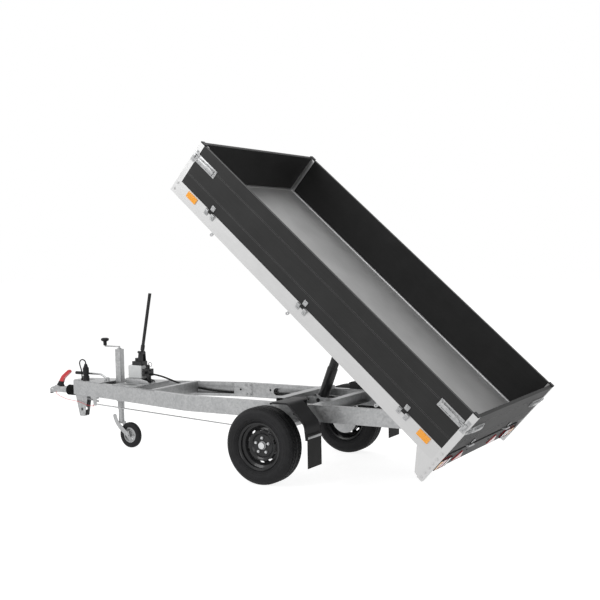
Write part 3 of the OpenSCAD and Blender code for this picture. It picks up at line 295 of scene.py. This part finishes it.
def ramp(nt, fac, stops):
    r = nt.nodes.new("ShaderNodeValToRGB")
    el = r.color_ramp.elements
    while len(el) < len(stops):
        el.new(0.5)
    for e, (p, c) in zip(el, stops):
        e.position = p
        e.color = (*c, 1) if isinstance(c, tuple) else (c, c, c, 1)
    nt.links.new(fac, r.inputs["Fac"])
    return r.outputs["Color"]


def maths(nt, op, a, b):
    n = nt.nodes.new("ShaderNodeMath")
    n.operation = op
    for i, x in enumerate((a, b)):
        if isinstance(x, (int, float)):
            n.inputs[i].default_value = x
        else:
            nt.links.new(x, n.inputs[i])
    return n.outputs[0]


def bump(nt, height, b, strength=0.3, distance=0.001, chain=None):
    n = nt.nodes.new("ShaderNodeBump")
    n.inputs["Strength"].default_value = strength
    n.inputs["Distance"].default_value = distance
    nt.links.new(height, n.inputs["Height"])
    if chain is not None:
        nt.links.new(chain, n.inputs["Normal"])
    nt.links.new(n.outputs["Normal"], b.inputs["Normal"])
    return n.outputs["Normal"]


def galvanised(name, tipped=False, lo=0.30, hi=0.47, cell=70, metal=0.85):
    """Hot-dip zinc: crystal cells of slightly different grey, clouded by soft stains."""
    m, nt, b = material(name)
    v = coords(nt, tipped)
    vor = nt.nodes.new("ShaderNodeTexVoronoi")
    vor.inputs["Scale"].default_value = cell
    vor.inputs["Randomness"].default_value = 1
    nt.links.new(v, vor.inputs["Vector"])
    cell_v = nt.nodes.new("ShaderNodeSeparateColor")
    nt.links.new(vor.outputs["Color"], cell_v.inputs["Color"])
    cloud = noise(nt, v, 9, 6, 0.6, 0.4)
    fine = noise(nt, v, 160, 3)
    mix = maths(nt, "ADD", maths(nt, "MULTIPLY", cell_v.outputs[0], 0.35),
                maths(nt, "ADD", maths(nt, "MULTIPLY", cloud, 0.5),
                      maths(nt, "MULTIPLY", fine, 0.15)))
    mid = (lo + hi) / 2
    col = ramp(nt, mix, [(0.2, (lo, lo * 1.02, lo * 1.03)), (0.5, (mid, mid * 1.01, mid * 1.02)),
                         (0.8, (hi, hi * 1.005, hi * 1.01))])
    nt.links.new(col, b.inputs["Base Color"])
    b.inputs["Metallic"].default_value = metal
    nt.links.new(maths(nt, "ADD", maths(nt, "MULTIPLY", mix, 0.25), 0.30), b.inputs["Roughness"])
    h = bump(nt, fine, b, 0.12, 0.0006)
    bump(nt, cloud, b, 0.15, 0.002, h)
    return m


def extruded(name, base, metal, rough, streak=0.06, tipped=True, axis=0, tint=(1, 1, 1)):
    """Drawn aluminium: fine lines along the profile, dulled unevenly."""
    m, nt, b = material(name)
    st = [1, 1, 1]
    st[axis] = 60
    line = noise(nt, coords(nt, tipped, tuple(st)), 420, 2, 0.6)
    cloud = noise(nt, coords(nt, tipped), 5, 5, 0.6)
    mix = maths(nt, "ADD", maths(nt, "MULTIPLY", line, 0.5), maths(nt, "MULTIPLY", cloud, 0.5))
    a, z = base * (1 - streak), base * (1 + streak)
    col = ramp(nt, mix, [(0.3, (a * tint[0], a * tint[1], a * tint[2])),
                         (0.7, (z * tint[0], z * tint[1], z * tint[2]))])
    nt.links.new(col, b.inputs["Base Color"])
    b.inputs["Metallic"].default_value = metal
    b.inputs["Specular IOR Level"].default_value = 0.2 if base < 0.05 else 0.5
    nt.links.new(maths(nt, "ADD", maths(nt, "MULTIPLY", mix, 0.2), rough - 0.1),
                 b.inputs["Roughness"])
    bump(nt, line, b, 0.06, 0.0004)
    return m


def plain(name, colour, rough, metal=0.0, spread=0.12, scale=40, height=0.1, coat=0.0):
    """Moulded or painted surface: slight colour drift, fine grain and uneven gloss."""
    m, nt, b = material(name)
    v = coords(nt)
    n1 = noise(nt, v, scale, 5, 0.6)
    n2 = noise(nt, v, scale * 18, 2, 0.5)
    col = ramp(nt, n1, [(0.3, tuple(c * (1 - spread) for c in colour)),
                        (0.7, tuple(min(1, c * (1 + spread)) for c in colour))])
    nt.links.new(col, b.inputs["Base Color"])
    b.inputs["Metallic"].default_value = metal
    b.inputs["Specular IOR Level"].default_value = 0.18 if max(colour) < 0.05 else 0.5
    if coat:
        b.inputs["Coat Weight"].default_value = coat
        b.inputs["Coat Roughness"].default_value = 0.12
    nt.links.new(maths(nt, "ADD", maths(nt, "MULTIPLY", n1, 0.18), rough - 0.09),
                 b.inputs["Roughness"])
    bump(nt, n2, b, height, 0.0005)
    return m


GALV = galvanised("galvanised_steel")
GALV_BED = galvanised("galvanised_bed", True)
RAIL = extruded("silver_profile", 0.52, 0.85, 0.42, 0.05)
POST = extruded("silver_post", 0.54, 0.85, 0.40, 0.05, True, 2)
BOARD = extruded("black_board", 0.020, 0.0, 0.42, 0.25)
# Front board and tailgate: the same black boards with the lines across, made darker (0.013
# against 0.020) as painted shade on these faces.
BOARD_SHADED = extruded("black_board_cross_shaded", 0.013, 0.0, 0.55, 0.25, True, 1)
FLOOR_SHEET = extruded("floor_sheet", 0.40, 0.55, 0.46, 0.10)
BLACK_STEEL = plain("black_enamel", (0.012, 0.012, 0.013), 0.32, 0.0, 0.2, 30, 0.05, 0.3)
HUB_STEEL = galvanised("hub_zinc", False, 0.52, 0.72, 140, 0.85)
BLACK_PLASTIC = plain("black_plastic", (0.016, 0.016, 0.017), 0.5, 0.0, 0.2, 30, 0.25)
RUBBER = plain("black_rubber", (0.014, 0.014, 0.014), 0.62, 0.0, 0.2, 25, 0.2)
RED = plain("red_plastic", (0.55, 0.012, 0.02), 0.32, 0.0, 0.08, 20, 0.1, 0.2)
RED_SHEATH = plain("red_sheath", (0.60, 0.02, 0.03), 0.35, 0.0, 0.08, 60, 0.1)
TANK = plain("tank_white", (0.62, 0.63, 0.63), 0.42, 0.0, 0.06, 14, 0.15)
AMBER = plain("amber_lens", (0.90, 0.36, 0.01), 0.18, 0.0, 0.05, 60, 0.1, 0.5)
RED_LENS = plain("red_lens", (0.42, 0.02, 0.03), 0.18, 0.0, 0.05, 60, 0.1, 0.5)
TYRE = plain("tyre_rubber", (0.016, 0.016, 0.017), 0.62, 0.0, 0.25, 30, 0.25)

GIVE = {
    GALV: ["rail_left", "rail_right", "crossbars", "crossbeams", "hinge_beam",
           "overrun_housing", "coupling_head", "front_stand", "handbrake", "brake_rod",
           "jockey_tube", "jockey_crank", "axle", "ram_cradle", "jockey_leg", "jockey_fork",
           "jockey_rim"],
    GALV_BED: ["bed_underframe", "bed_crossmembers", "bed_fittings", "latches_left",
               "latches_right", "tailgate_latches"],
    FLOOR_SHEET: ["bed_floor"],
    RAIL: ["bed_rails"],
    POST: ["corner_posts"],
    BOARD: ["side_board_left", "side_board_right"],
    BOARD_SHADED: ["front_board", "tailgate"],
    BLACK_STEEL: ["rim_left", "rim_right", "pump_body", "pump_lever", "ram_barrel",
                  "ram_stage_1", "ram_stage_2", "ram_stage_3"],
    HUB_STEEL: ["hub_left", "hub_right"],
    TYRE: ["tyre_left", "tyre_right", "jockey_tyre"],
    RUBBER: ["bellows", "mud_flaps", "hose", "plug_lead"],
    BLACK_PLASTIC: ["hand_grips", "mudguards", "plug_holder", "plug", "post_caps",
                    "lamp_board"],
    RED: ["coupling_handle"],
    RED_SHEATH: ["breakaway_cable"],
    TANK: ["pump_tank"],
    AMBER: ["marker_lamps"],
    RED_LENS: ["rear_lamps"],
}
for mat, names in GIVE.items():
    for n in names:
        o = NODES[n]
        o.data.materials.clear()
        o.data.materials.append(mat)

# Floor, world and lights


def studio():
    bm = bmesh.new()
    bmesh.ops.create_grid(bm, x_segments=1, y_segments=1, size=40)
    floor = from_bm("floor", bm)
    m, nt, b = material("floor")
    b.inputs["Base Color"].default_value = (0.90, 0.90, 0.90, 1)
    b.inputs["Roughness"].default_value = 0.9
    b.inputs["Specular IOR Level"].default_value = 0.1
    out = nt.nodes["Material Output"]
    em = node(nt, "ShaderNodeEmission", Strength=1.45)
    add = nt.nodes.new("ShaderNodeMixShader")
    lp = nt.nodes.new("ShaderNodeLightPath")
    seen = maths(nt, "MAXIMUM", lp.outputs["Is Camera Ray"],
                 maths(nt, "MAXIMUM", lp.outputs["Is Glossy Ray"],
                       lp.outputs["Is Transmission Ray"]))
    nt.links.new(maths(nt, "MULTIPLY", seen, 0.60), add.inputs["Fac"])
    nt.links.new(b.outputs[0], add.inputs[1])
    nt.links.new(em.outputs[0], add.inputs[2])
    nt.links.new(add.outputs[0], out.inputs["Surface"])
    floor.data.materials.append(m)

    world = bpy.data.worlds.new("world")
    bpy.context.scene.world = world
    world.use_nodes = True
    nt = world.node_tree
    bg = nt.nodes["Background"]
    lp = nt.nodes.new("ShaderNodeLightPath")
    seen = maths(nt, "MAXIMUM", lp.outputs["Is Camera Ray"],
                 maths(nt, "MAXIMUM", lp.outputs["Is Glossy Ray"],
                       lp.outputs["Is Transmission Ray"]))
    col = ramp(nt, seen, [(0.0, 0.42), (1.0, 1.0)])
    nt.links.new(col, bg.inputs["Color"])
    bg.inputs["Strength"].default_value = 1.0

    def area(name, loc, target, size, power):
        d = bpy.data.lights.new(name, "AREA")
        d.shape = "RECTANGLE"
        d.size, d.size_y = size
        d.energy = power
        o = bpy.data.objects.new(name, d)
        bpy.context.scene.collection.objects.link(o)
        o.location = loc
        o.rotation_mode = "QUATERNION"
        o.rotation_quaternion = (Vector(target) - Vector(loc)).to_track_quat("-Z", "Y")

    area("key", (-3.5, -6.5, 6.0), (0.6, 0, 1.0), (5, 4), 330)
    area("fill", (6.5, -4.0, 3.5), (0.8, 0, 1.0), (4, 4), 120)
    area("top", (0.5, 2.0, 8.0), (0.5, 0, 0.5), (7, 5), 230)


studio()

# Cords: the routes of the solids, in metres


def mm(points):
    return [Vector((x / 1000 + SHIFT, y / 1000, z / 1000)) for x, y, z in points]


LEAD = mm([(-2275, -93, 728), (-2277, -93, 744), (-2290, -93, 758), (-2312, -93, 764),
           (-2334, -93, 756), (-2346, -93, 738), (-2346, -92, 716), (-2338, -92, 694),
           (-2332, -90, 670), (-2330, -88, 642), (-2330, -86, 615), (-2330, -86, 595)])
CABLE = mm([(-2708, -28.2, 447), (-2705, -33, 439), (-2690, -38, 427), (-2655, -42, 412),
            (-2600, -45, 397), (-2540, -45, 385), (-2475, -45, 379), (-2400, -45, 368),
            (-2320, -45, 348), (-2250, -50, 344), (-2210, -75, 350), (-2190, -108, 362),
            (-2180, -121, 369), (-2164.8, -125, 372)])


def cords():
    lead = smooth_path(LEAD, 4)
    o = put(from_bm("plug_lead_jacket", sweep(lead, 0.0055, 16), 60), "chassis", RUBBER)
    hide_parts("plug_lead")
    cable = smooth_path(CABLE, 5)
    o = put(from_bm("breakaway_cable_jacket", sweep(cable, 0.002, 12), 60), "chassis",
            RED_SHEATH)
    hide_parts("breakaway_cable")


cords()

# Tyres with tread blocks and grooves


def tyre_mesh(side):
    """One road tyre: revolved wall, three main grooves and slanted cross grooves."""
    segs = 288
    wall = [(0.1653, 0.0617), (0.1763, 0.0657), (0.1823, 0.072), (0.1835, 0.0765),
            (0.1850, 0.0772), (0.1865, 0.0765), (0.189, 0.080), (0.193, 0.0842),
            (0.1935, 0.0856), (0.1955, 0.0866), (0.1975, 0.0862), (0.198, 0.0875),
            (0.205, 0.0925), (0.2055, 0.0935), (0.2075, 0.0938), (0.208, 0.0930),
            (0.214, 0.0951), (0.225, 0.0966), (0.2255, 0.0972), (0.2285, 0.0972),
            (0.229, 0.0965), (0.238, 0.0965), (0.2455, 0.0955), (0.246, 0.0962),
            (0.2495, 0.0955), (0.250, 0.0945), (0.256, 0.0925), (0.262, 0.0890),
            (0.2665, 0.0850)]
    cut = 0.0070
    bands = []
    for a, b, kind in ((0.0835, 0.0680, "shoulder"), (0.0680, 0.0600, "rib"),
                       (0.0600, 0.0500, "groove"), (0.0500, 0.0235, "block"),
                       (0.0235, 0.0145, "groove"), (0.0145, -0.0145, "centre"),
                       (-0.0145, -0.0235, "groove"), (-0.0235, -0.0500, "block"),
                       (-0.0500, -0.0600, "groove"), (-0.0600, -0.0680, "rib"),
                       (-0.0680, -0.0835, "shoulder")):
        bands.append((a, b, kind))

    def crown(y):
        t = abs(y) / 0.0835
        return 0.287 - 0.0015 * t ** 2 - 0.0155 * max(0, (t - 0.55) / 0.45) ** 2.0

    prof = [(r, y, "wall") for r, y in wall]
    for a, b, kind in bands:
        eps = 0.0006 if a > b else -0.0006
        steps = 3 if kind in ("shoulder", "centre", "block") else 2
        for k in range(steps):
            y = a - eps + (b + eps - (a - eps)) * k / (steps - 1)
            r = crown(y) - (cut if kind == "groove" else 0)
            prof.append((r, y, kind))
    prof += [(r, -y, "wall") for r, y in reversed(wall)]
    inner = [(0.1653, -0.044), (0.185, -0.062), (0.205, -0.0845), (0.225, -0.0885),
             (0.245, -0.0875), (0.256, -0.0815), (0.263, -0.0755), (0.272, -0.0635),
             (0.274, -0.0415), (0.274, 0.0415), (0.272, 0.0635), (0.263, 0.0755),
             (0.256, 0.0815), (0.245, 0.0875), (0.225, 0.0885), (0.205, 0.0845),
             (0.185, 0.062), (0.1653, 0.044)]
    prof += [(r, y, "inner") for r, y in inner]
    bm = bmesh.new()
    rings = []
    for r, y, kind in prof:
        ring = []
        for i in range(segs):
            rr = r
            # cross grooves: four segments per pitch, slanted outwards
            lead_in = abs(y) * 260
            k = (i + int(lead_in) * (1 if y > 0 else -1)) % 4
            if kind in ("shoulder", "block") and k == 0:
                rr = r - 0.0055
            if kind == "centre" and (i + int(y * 700)) % 8 == 0:
                rr = r - 0.0035
            a = 2 * math.pi * i / segs
            ring.append(bm.verts.new((rr * math.cos(a), side * (0.652 + y),
                                      0.287 + rr * math.sin(a))))
        rings.append(ring)
    n = len(rings)
    for q in range(n):
        a, b = rings[q], rings[(q + 1) % n]
        for i in range(segs):
            j = (i + 1) % segs
            bm.faces.new((a[i], a[j], b[j], b[i]))
    bmesh.ops.transform(bm, matrix=Matrix.Translation((SHIFT - 0.027, 0, 0)), verts=bm.verts)
    bmesh.ops.recalc_face_normals(bm, faces=bm.faces)
    return bm


for name, s in (("left", -1), ("right", 1)):
    t = put(from_bm("tread_" + name, tyre_mesh(s), 28), "wheel_" + name, TYRE)
    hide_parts("tyre_" + name)

# Details are drawn in millimetres, in chassis coordinates from the axle or in bed coordinates

CH = Matrix.Translation((SHIFT, 0, 0)) @ Matrix.Scale(0.001, 4)
BM = BED @ Matrix.Scale(0.001, 4)


def piece(name, fill, body, mat, m=CH, flip=False, twin=False, smooth=35):
    """A mesh that fill draws, on its body; twin adds its mirror image, flip leaves only that."""
    bm = bmesh.new()
    fill(bm)
    if twin:
        both = bmesh.ops.duplicate(bm, geom=bm.verts[:] + bm.edges[:] + bm.faces[:])["geom"]
        verts = [g for g in both if isinstance(g, bmesh.types.BMVert)]
        faces = [g for g in both if isinstance(g, bmesh.types.BMFace)]
        bmesh.ops.scale(bm, vec=(1, -1, 1), verts=verts)
        bmesh.ops.reverse_faces(bm, faces=faces)
    if flip:
        bmesh.ops.scale(bm, vec=(1, -1, 1), verts=bm.verts)
        bmesh.ops.reverse_faces(bm, faces=bm.faces)
    bmesh.ops.transform(bm, matrix=m, verts=bm.verts)
    return put(from_bm(name, bm, smooth), body, mat)


def rod(bm, a, b, r, sides=16):
    merge(bm, sweep([Vector(a), Vector(b)], r, sides))


def ring(bm, at, axis, profile, segs=32):
    """Adds a turned form about an axis through a point."""
    matrix = Matrix.Translation(Vector(at)) @ basis(Vector(axis).orthogonal(), axis)
    merge(bm, turn(profile, segs, matrix))


# Hinges, latches, groove lines painted as highlight strips, and lamps of the bed

SIDE_HINGES = (-2050, -1035, -14)
FACE = -796


def hinge_leaves(bm):
    for x in SIDE_HINGES:
        block(bm, (x - 17.5, FACE - 4.0, 118), (x + 17.5, FACE - 2.9, 156), bevel=0.5)
        for d in (-9, 9):
            hexbolt(bm, (x + d, FACE - 4, 144), (0, -1, 0), 10, 4.6)


def hinge_brackets(bm):
    for x in SIDE_HINGES:
        for d in (-33, 33):
            hexbolt(bm, (x + d, FACE - 3, 72), (0, -1, 0), 11, 5)
            block(bm, (x + d - 15.4, FACE - 3.6, 61.5), (x + d + 15.4, FACE - 0.1, 64.5),
                  bevel=0.8)


def latch(bm, x0, d, z0):
    """An over-centre latch: base with folded cheeks, long lever, links, pins and rivets."""
    def b(x1, x2, y1, y2, z1, z2, bevel=0.7):
        block(bm, (min(x0 + d * x1, x0 + d * x2), FACE + y1, z0 + z1),
              (max(x0 + d * x1, x0 + d * x2), FACE + y2, z0 + z2), bevel=bevel)
    b(0, 208, -4.2, -2.9, 0, 60)
    for z in (11, 47):
        b(16, 120, -15, -3.5, z - 1, z + 1)
    outline = [(22, 20), (60, 15), (150, 19), (186, 24), (186, 36), (150, 41), (60, 45), (22, 40)]
    upright = Matrix(((d, 0, 0, 0), (0, 0, -1, 0), (0, 1, 0, 0), (0, 0, 0, 1)))
    extrude(bm, outline, 15.2, 17.8, Matrix.Translation((x0, FACE, z0)) @ upright, 0.8)
    for x, r in ((30, 4), (104, 3.4), (150, 3)):
        rod(bm, (x0 + d * x, FACE - 12, z0 + 8), (x0 + d * x, FACE - 12, z0 + 52), r)
    for x in (8, 200):
        for z in (9, 51):
            hexbolt(bm, (x0 + d * x, FACE - 4.2, z0 + z), (0, -1, 0), 9, 3.6)
    for z in (22, 38):
        rod(bm, (x0 + d * 104, FACE - 10, z0 + z), (x0 + d * 238, FACE - 8, z0 + z), 2.6, 12)


def side_latch(bm):
    latch(bm, 119, 1, 302)
    latch(bm, -2187, -1, 302)


def keepers(bm):
    for x in (331, -2445):
        block(bm, (x + 5, FACE - 1.6, 284), (x + 41, FACE - 0.1, 378), bevel=0.5)
        for z in (294, 368):
            hexbolt(bm, (x + 23, FACE - 1.6, z), (0, -1, 0), 10, 4)
        block(bm, (x + 14, FACE - 13, 316), (x + 32, FACE - 9.6, 346), bevel=1)
        for z in (314, 345):
            block(bm, (x + 14, FACE - 13, z), (x + 32, FACE - 1, z + 3), bevel=0.8)


# Thin strips lighter than the black board along each groove's edges: a painted highlight where
# the edges catch the light.
def groove_highlights(bm):
    for z in (190.2, 199.6, 339.4, 348.7):
        block(bm, (-2396, FACE - 0.35, z), (326, FACE + 0.5, z + 0.9))


# Grey material for the groove strips: a painted highlight, not the boards' own colour.
GROOVE_HIGHLIGHT = extruded("painted_groove_highlight", 0.10, 0.5, 0.4, 0.1)
for name, f in (("left", False), ("right", True)):
    body = "drop_side_" + name
    piece("hinge_leaves_" + name, hinge_leaves, body, GALV_BED, BM, f)
    piece("latch_levers_" + name, side_latch, body, GALV_BED, BM, f)
    piece("groove_highlights_" + name, groove_highlights, body, GROOVE_HIGHLIGHT, BM, f)
piece("hinge_brackets", hinge_brackets, "bed", GALV_BED, BM, twin=True)
piece("latch_keepers", keepers, "bed", GALV_BED, BM, twin=True)


def gate_face(bm, fill):
    """Draws fill in the side board's axes and turns it to the tailgate's outer face."""
    t = bmesh.new()
    fill(t)
    merge(bm, t, Matrix(((0, -1, 0, -419), (1, 0, 0, 0), (0, 0, 1, 0), (0, 0, 0, 1))))


def gate_levers(bm):
    gate_face(bm, lambda t: (latch(t, 504, 1, 272), latch(t, -504, -1, 272)))
    for y in (-360, 360):
        block(bm, (379.9, y - 17.5, 105), (381, y + 17.5, 143), bevel=0.5)
        ring(bm, (387, y - 17.2, 87), (0, 1, 0), [(7.6, 0), (8.6, 0.8), (8.6, 33.6), (7.6, 34.4)])
        for d in (-9, 9):
            hexbolt(bm, (381, y + d, 131), (1, 0, 0), 10, 4.6)


# The tailgate's groove edges, drawn as the same painted highlight strips.
def gate_highlight_lines(bm):
    for z in (180.0, 189.4, 335.6, 345.0):
        block(bm, (376.5, -753, z), (377.35, 753, z + 0.9))


piece("gate_latch_levers", gate_levers, "tailgate", GALV_BED, BM)
piece("gate_groove_lines", gate_highlight_lines, "tailgate", GROOVE_HIGHLIGHT, BM)


# Near-white strip along the floor's edge inside the boards: a painted highlight on the lit edge,
# not the trim's own colour.
FLOOR_EDGE_HIGHLIGHT = plain("painted_edge_highlight", (0.86, 0.86, 0.87), 0.3, 0.1, 0.03, 60, 0.05)


def floor_edge_highlight(bm):
    block(bm, (-2404, -755.6, 103.1), (348, -746, 104.4), bevel=0.3)
    block(bm, (-2404, -755.6, 103.1), (348, -754, 110), bevel=0.3)


def corner_trim(bm):
    block(bm, (-2405, -755.8, 104), (-2379.8, -752, 433), bevel=0.5)
    for x in (331, -2445):
        for z in (30, 82):
            hexbolt(bm, (x + 23, FACE, z), (0, -1, 0), 13, 5)
    for z in (-140, -96, -52, -12):
        hexbolt(bm, (354, FACE, z), (0, -1, 0), 11, 4)
    for x in (-1530, -560):
        ring(bm, (x, FACE, 26), (0, -1, 0), [(0, 0.8), (6, 0.8), (7, 0)])


piece("floor_edge_highlight", floor_edge_highlight, "bed", FLOOR_EDGE_HIGHLIGHT, BM, twin=True)
piece("corner_bolts", corner_trim, "bed", RAIL, BM, twin=True)


def marker_ribs(bm):
    for x in (-2250, 190):
        for k in range(11):
            block(bm, (x - 41 + k * 8, FACE - 8.5, 58), (x - 39 + k * 8, FACE - 7.8, 97),
                  bevel=0.25)
        for z in (60, 94):
            block(bm, (x - 42, FACE - 8.7, z - 1), (x + 42, FACE - 7.8, z + 1), bevel=0.3)


piece("marker_ribs", marker_ribs, "bed", AMBER, BM, twin=True)

CLEAR = plain("clear_lens", (0.75, 0.75, 0.76), 0.12, 0.0, 0.05, 60, 0.1, 0.6)


def lamp_amber(bm):
    block(bm, (374.9, -722, -74), (376.4, -668, 2), bevel=0.4)


def lamp_clear(bm):
    block(bm, (374.9, -580, -74), (376.4, -532, 2), bevel=0.4)


def lamp_frame(bm):
    for y1, y2 in ((-727, -724), (-529, -526), (-667, -664), (-584, -581)):
        block(bm, (368, y1, -79), (376.7, y2, 7), bevel=0.4)
    for z1, z2 in ((-79, -76), (4, 7)):
        block(bm, (368, -727, z1), (376.7, -526, z2), bevel=0.4)
    for y in (-470, -210):
        ring(bm, (363, y, -20), (1, 0, 0), [(0, 3), (7, 3), (8, 0)])


piece("lamp_amber_part", lamp_amber, "bed", AMBER, BM, twin=True)
piece("lamp_clear_part", lamp_clear, "bed", CLEAR, BM, twin=True)
piece("lamp_frames", lamp_frame, "bed", BLACK_PLASTIC, BM, twin=True)

# Rounded mudguards, tank with its seat, hub caps and nuts

XZ = Matrix(((1, 0, 0, 0), (0, 0, -1, 0), (0, 1, 0, 0), (0, 0, 0, 1)))


def arc(cx, cz, r, a0, a1, n=10):
    return [(cx + r * math.cos(math.radians(a0 + (a1 - a0) * i / n)),
             cz + r * math.sin(math.radians(a0 + (a1 - a0) * i / n))) for i in range(n + 1)]


GUARD = ([(88, 616), (110, 624.8)] + arc(216.6, 565, 59.8, 90, 43.4)
         + arc(295.1, 438.3, 89.8, 43.4, 6.6) + [(393.8, 366)])


def inset(path, t):
    """The path moved by t to its right-hand side."""
    out = []
    for i, (x, z) in enumerate(path):
        x0, z0 = path[max(i - 1, 0)]
        x1, z1 = path[min(i + 1, len(path) - 1)]
        n = math.hypot(x1 - x0, z1 - z0)
        out.append((x + t * (z1 - z0) / n, z - t * (x1 - x0) / n))
    return out


def mudguard(bm):
    """A bent plate with turned-down lips, its top part reaching in to the leg on the rail."""
    def strip(path, t, y0, y1):
        extrude(bm, path + list(reversed(inset(path, t))), y0, y1, XZ)
    strip(GUARD, 4, 545, 744.6)
    strip(GUARD, 13, 741.6, 744.9)
    strip(GUARD, 13, 545, 548)
    strip(GUARD[:9], 4, 446, 545)
    strip(GUARD[:9], 13, 446, 449)
    strip(inset(GUARD, -1.5)[14:-2], 1.6, 556, 734)
    skirt = inset(GUARD, 2)[4:] + [(330, 366), (318, 430), (200, 560), (190, 620)]
    extrude(bm, skirt, 545, 549, XZ)
    block(bm, (100, -446, 488), (220, -441.3, 622), bevel=0.5)
    for x in (125, 195):
        hexbolt(bm, (x, -446, 520), (0, -1, 0), 13, 6)


guards = piece("mudguard_shells", mudguard, "chassis", BLACK_PLASTIC, twin=True)
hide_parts("mudguards")


def flap_strip(bm):
    for y in (-738, -560):
        hexbolt(bm, (394, y + 12, 383), (-1, 0, 0), 10, 4)
    block(bm, (398.2, -738, 375), (399.4, -552, 392), bevel=0.4)


piece("flap_strips", flap_strip, "chassis", GALV, twin=True)


def tank(bm):
    block(bm, (-1829, -46, 618), (-1681, 46, 732.5), bevel=11, segs=5)
    ring(bm, (-1800, 0, 732), (0, 0, 1), [(0, 15), (13, 15), (14, 13), (14, 1), (17, 0)])
    for z in (646, 704):
        block(bm, (-1829.8, -46.8, z), (-1680.5, 46.8, z + 2.2), bevel=0.9)


tank_o = piece("oil_tank", tank, "chassis", TANK)
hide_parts("pump_tank")


def tank_seat(bm):
    block(bm, (-1850, -50, 576.2), (-1600, 50, 580.2), bevel=0.8)
    block(bm, (-1850, -50, 576.2), (-1846, 50, 617), bevel=0.8)
    outline = [(-1850, 578), (-1604, 578), (-1612, 600), (-1690, 617), (-1850, 617)]
    for y in (-50, 47):
        extrude(bm, outline, -y - 3, -y, XZ, 0.6)
    block(bm, (-1850, -50, 614), (-1690, 50, 618), bevel=0.8)
    for x in (-1838, -1616):
        for y in (-36, 36):
            hexbolt(bm, (x, y, 580.2), (0, 0, 1), 13, 7)


piece("tank_seat", tank_seat, "chassis", GALV)


WHEEL_X, WHEEL_Y, WHEEL_R = -27, 652, 287
NUTS, NUT_CIRCLE = 5, 56
DISC, CAP = 20, 36


def wheel_trim(bm, side):
    """Bolt ends on the wheel disc and the ring around the hub."""
    out = (0, side, 0)
    face = side * (WHEEL_Y + DISC)
    for i in range(NUTS):
        a = math.radians(i * 360 / NUTS + 18)
        at = (WHEEL_X + NUT_CIRCLE * math.cos(a), face, WHEEL_R + NUT_CIRCLE * math.sin(a))
        ring(bm, at, out, [(0, 13.2), (4.2, 13.2), (6.2, 11), (6.2, 8)], 20)
    ring(bm, (WHEEL_X, face, WHEEL_R), out, [(31, -4), (31, 6), (29.6, 8.4), (26, 8.4)], 48)


def hub_trim(bm, side):
    ring(bm, (WHEEL_X, side * (WHEEL_Y + CAP), WHEEL_R), (0, side, 0),
         [(0, 9.2), (8, 9.2), (9.4, 8), (18, 8), (24.4, 6.4), (26.8, 3), (28.3, -2),
          (28.3, -6)], 48)


for name, sd in (("left", -1), ("right", 1)):
    body = "wheel_" + name
    piece("wheel_nut_cones_" + name, lambda bm: wheel_trim(bm, sd), body, HUB_STEEL)
    piece("hub_cap_" + name, lambda bm: hub_trim(bm, sd), body, HUB_STEEL)


def brake_link(bm):
    """Pull rod with its spring and turnbuckle between the overrun lever and the brake rod."""
    front = Vector((-2362, -24, 414))
    rod(bm, front, (-2198, -24, 386), 4)
    d = Vector((164, 0, -28)).normalized()
    length, coils, radius, steps = 78, 8, 9, 96
    path = []
    for k in range(steps + 1):
        t = k / steps
        c = Vector((-2330, -24, 408.5)) + d * length * t
        a = t * coils * 2 * math.pi
        path.append(c + Vector((0, radius * math.cos(a), radius * math.sin(a))))
    merge(bm, sweep(path, 1.7, 8))
    for x in (-2336, -2248, -2206):
        c = front + d * (x - front.x)
        ring(bm, c, d, [(0, -4), (9, -4), (9.6, -3), (9.6, 3), (9, 4), (0, 4)], 6)


piece("brake_link", brake_link, "chassis", GALV)

# Coupling nose, valve loop, rail plates and the coupling handle's foot


def nose_tip(bm):
    block(bm, (-2799.5, -15, 424), (-2784, 15, 447), bevel=3, segs=4)


def valve_loop(bm):
    loop_r, steps = 19, 40
    path = [Vector((-1608 + loop_r * math.cos(t), -12, 741 + loop_r * math.sin(t)))
            for t in [2 * math.pi * k / steps for k in range(steps + 1)]]
    merge(bm, sweep(path, 2.2, 10))
    rod(bm, (-1643, -12, 712), (-1643, -12, 733), 5)
    ring(bm, (-1643, -12, 726), (0, 0, 1),
         [(0, 0), (10, 0), (12, 2), (12, 10), (10, 12), (0, 12)], 12)
    for z in (656, 688):
        ring(bm, (-1609, -8, z), (1, 0, 0), [(0, 0), (7, 0), (7, 7), (5.6, 8), (0, 8)], 6)


RAIL_FACE = [(-1000, 374), (-903, 396), (-830, 396), (-830, 393), (-903.7, 393), (-1000, 371)]


def rail_plates(bm):
    extrude(bm, RAIL_FACE, 456, 564, bevel=0.6)
    for z in (470, 550):
        for x in (-886, -846):
            hexbolt(bm, (x, 393, z), (0, -1, 0), 13, 6)


# Dark rubber discs over the holes in the rail plates: painted shade standing in for the dark
# inside of each hole.
def rail_hole_shade(bm):
    ring(bm, (-940, 384.5, 511), (0.221, -0.975, 0), [(0, 0.6), (8.4, 0.6), (9, 0)])


piece("nose_tip", nose_tip, "chassis", BLACK_PLASTIC)
piece("valve_loop", valve_loop, "chassis", BLACK_STEEL)
piece("rail_plates", rail_plates, "chassis", GALV, twin=True)
piece("rail_plate_hole_shade", rail_hole_shade, "chassis", RUBBER, twin=True)

# The ball's place, which the handle's outline is drawn from
BALL = Matrix.Translation((-2765, 0, 438))
HANDLE_FOOT = [(51.5, 67.9), (75, 67.9), (97, 57.9), (125, 57.9), (112.6, 80), (123, 101.5),
               (80.6, 107.2), (76.6, 101.4), (61.6, 82.4)]


def handle_foot(bm):
    """Black lower part over the coupling handle's foot."""
    extrude(bm, HANDLE_FOOT, -14.5, 14.5, BALL @ XZ, 0.3)


piece("handle_foot", handle_foot, "chassis", BLACK_PLASTIC)
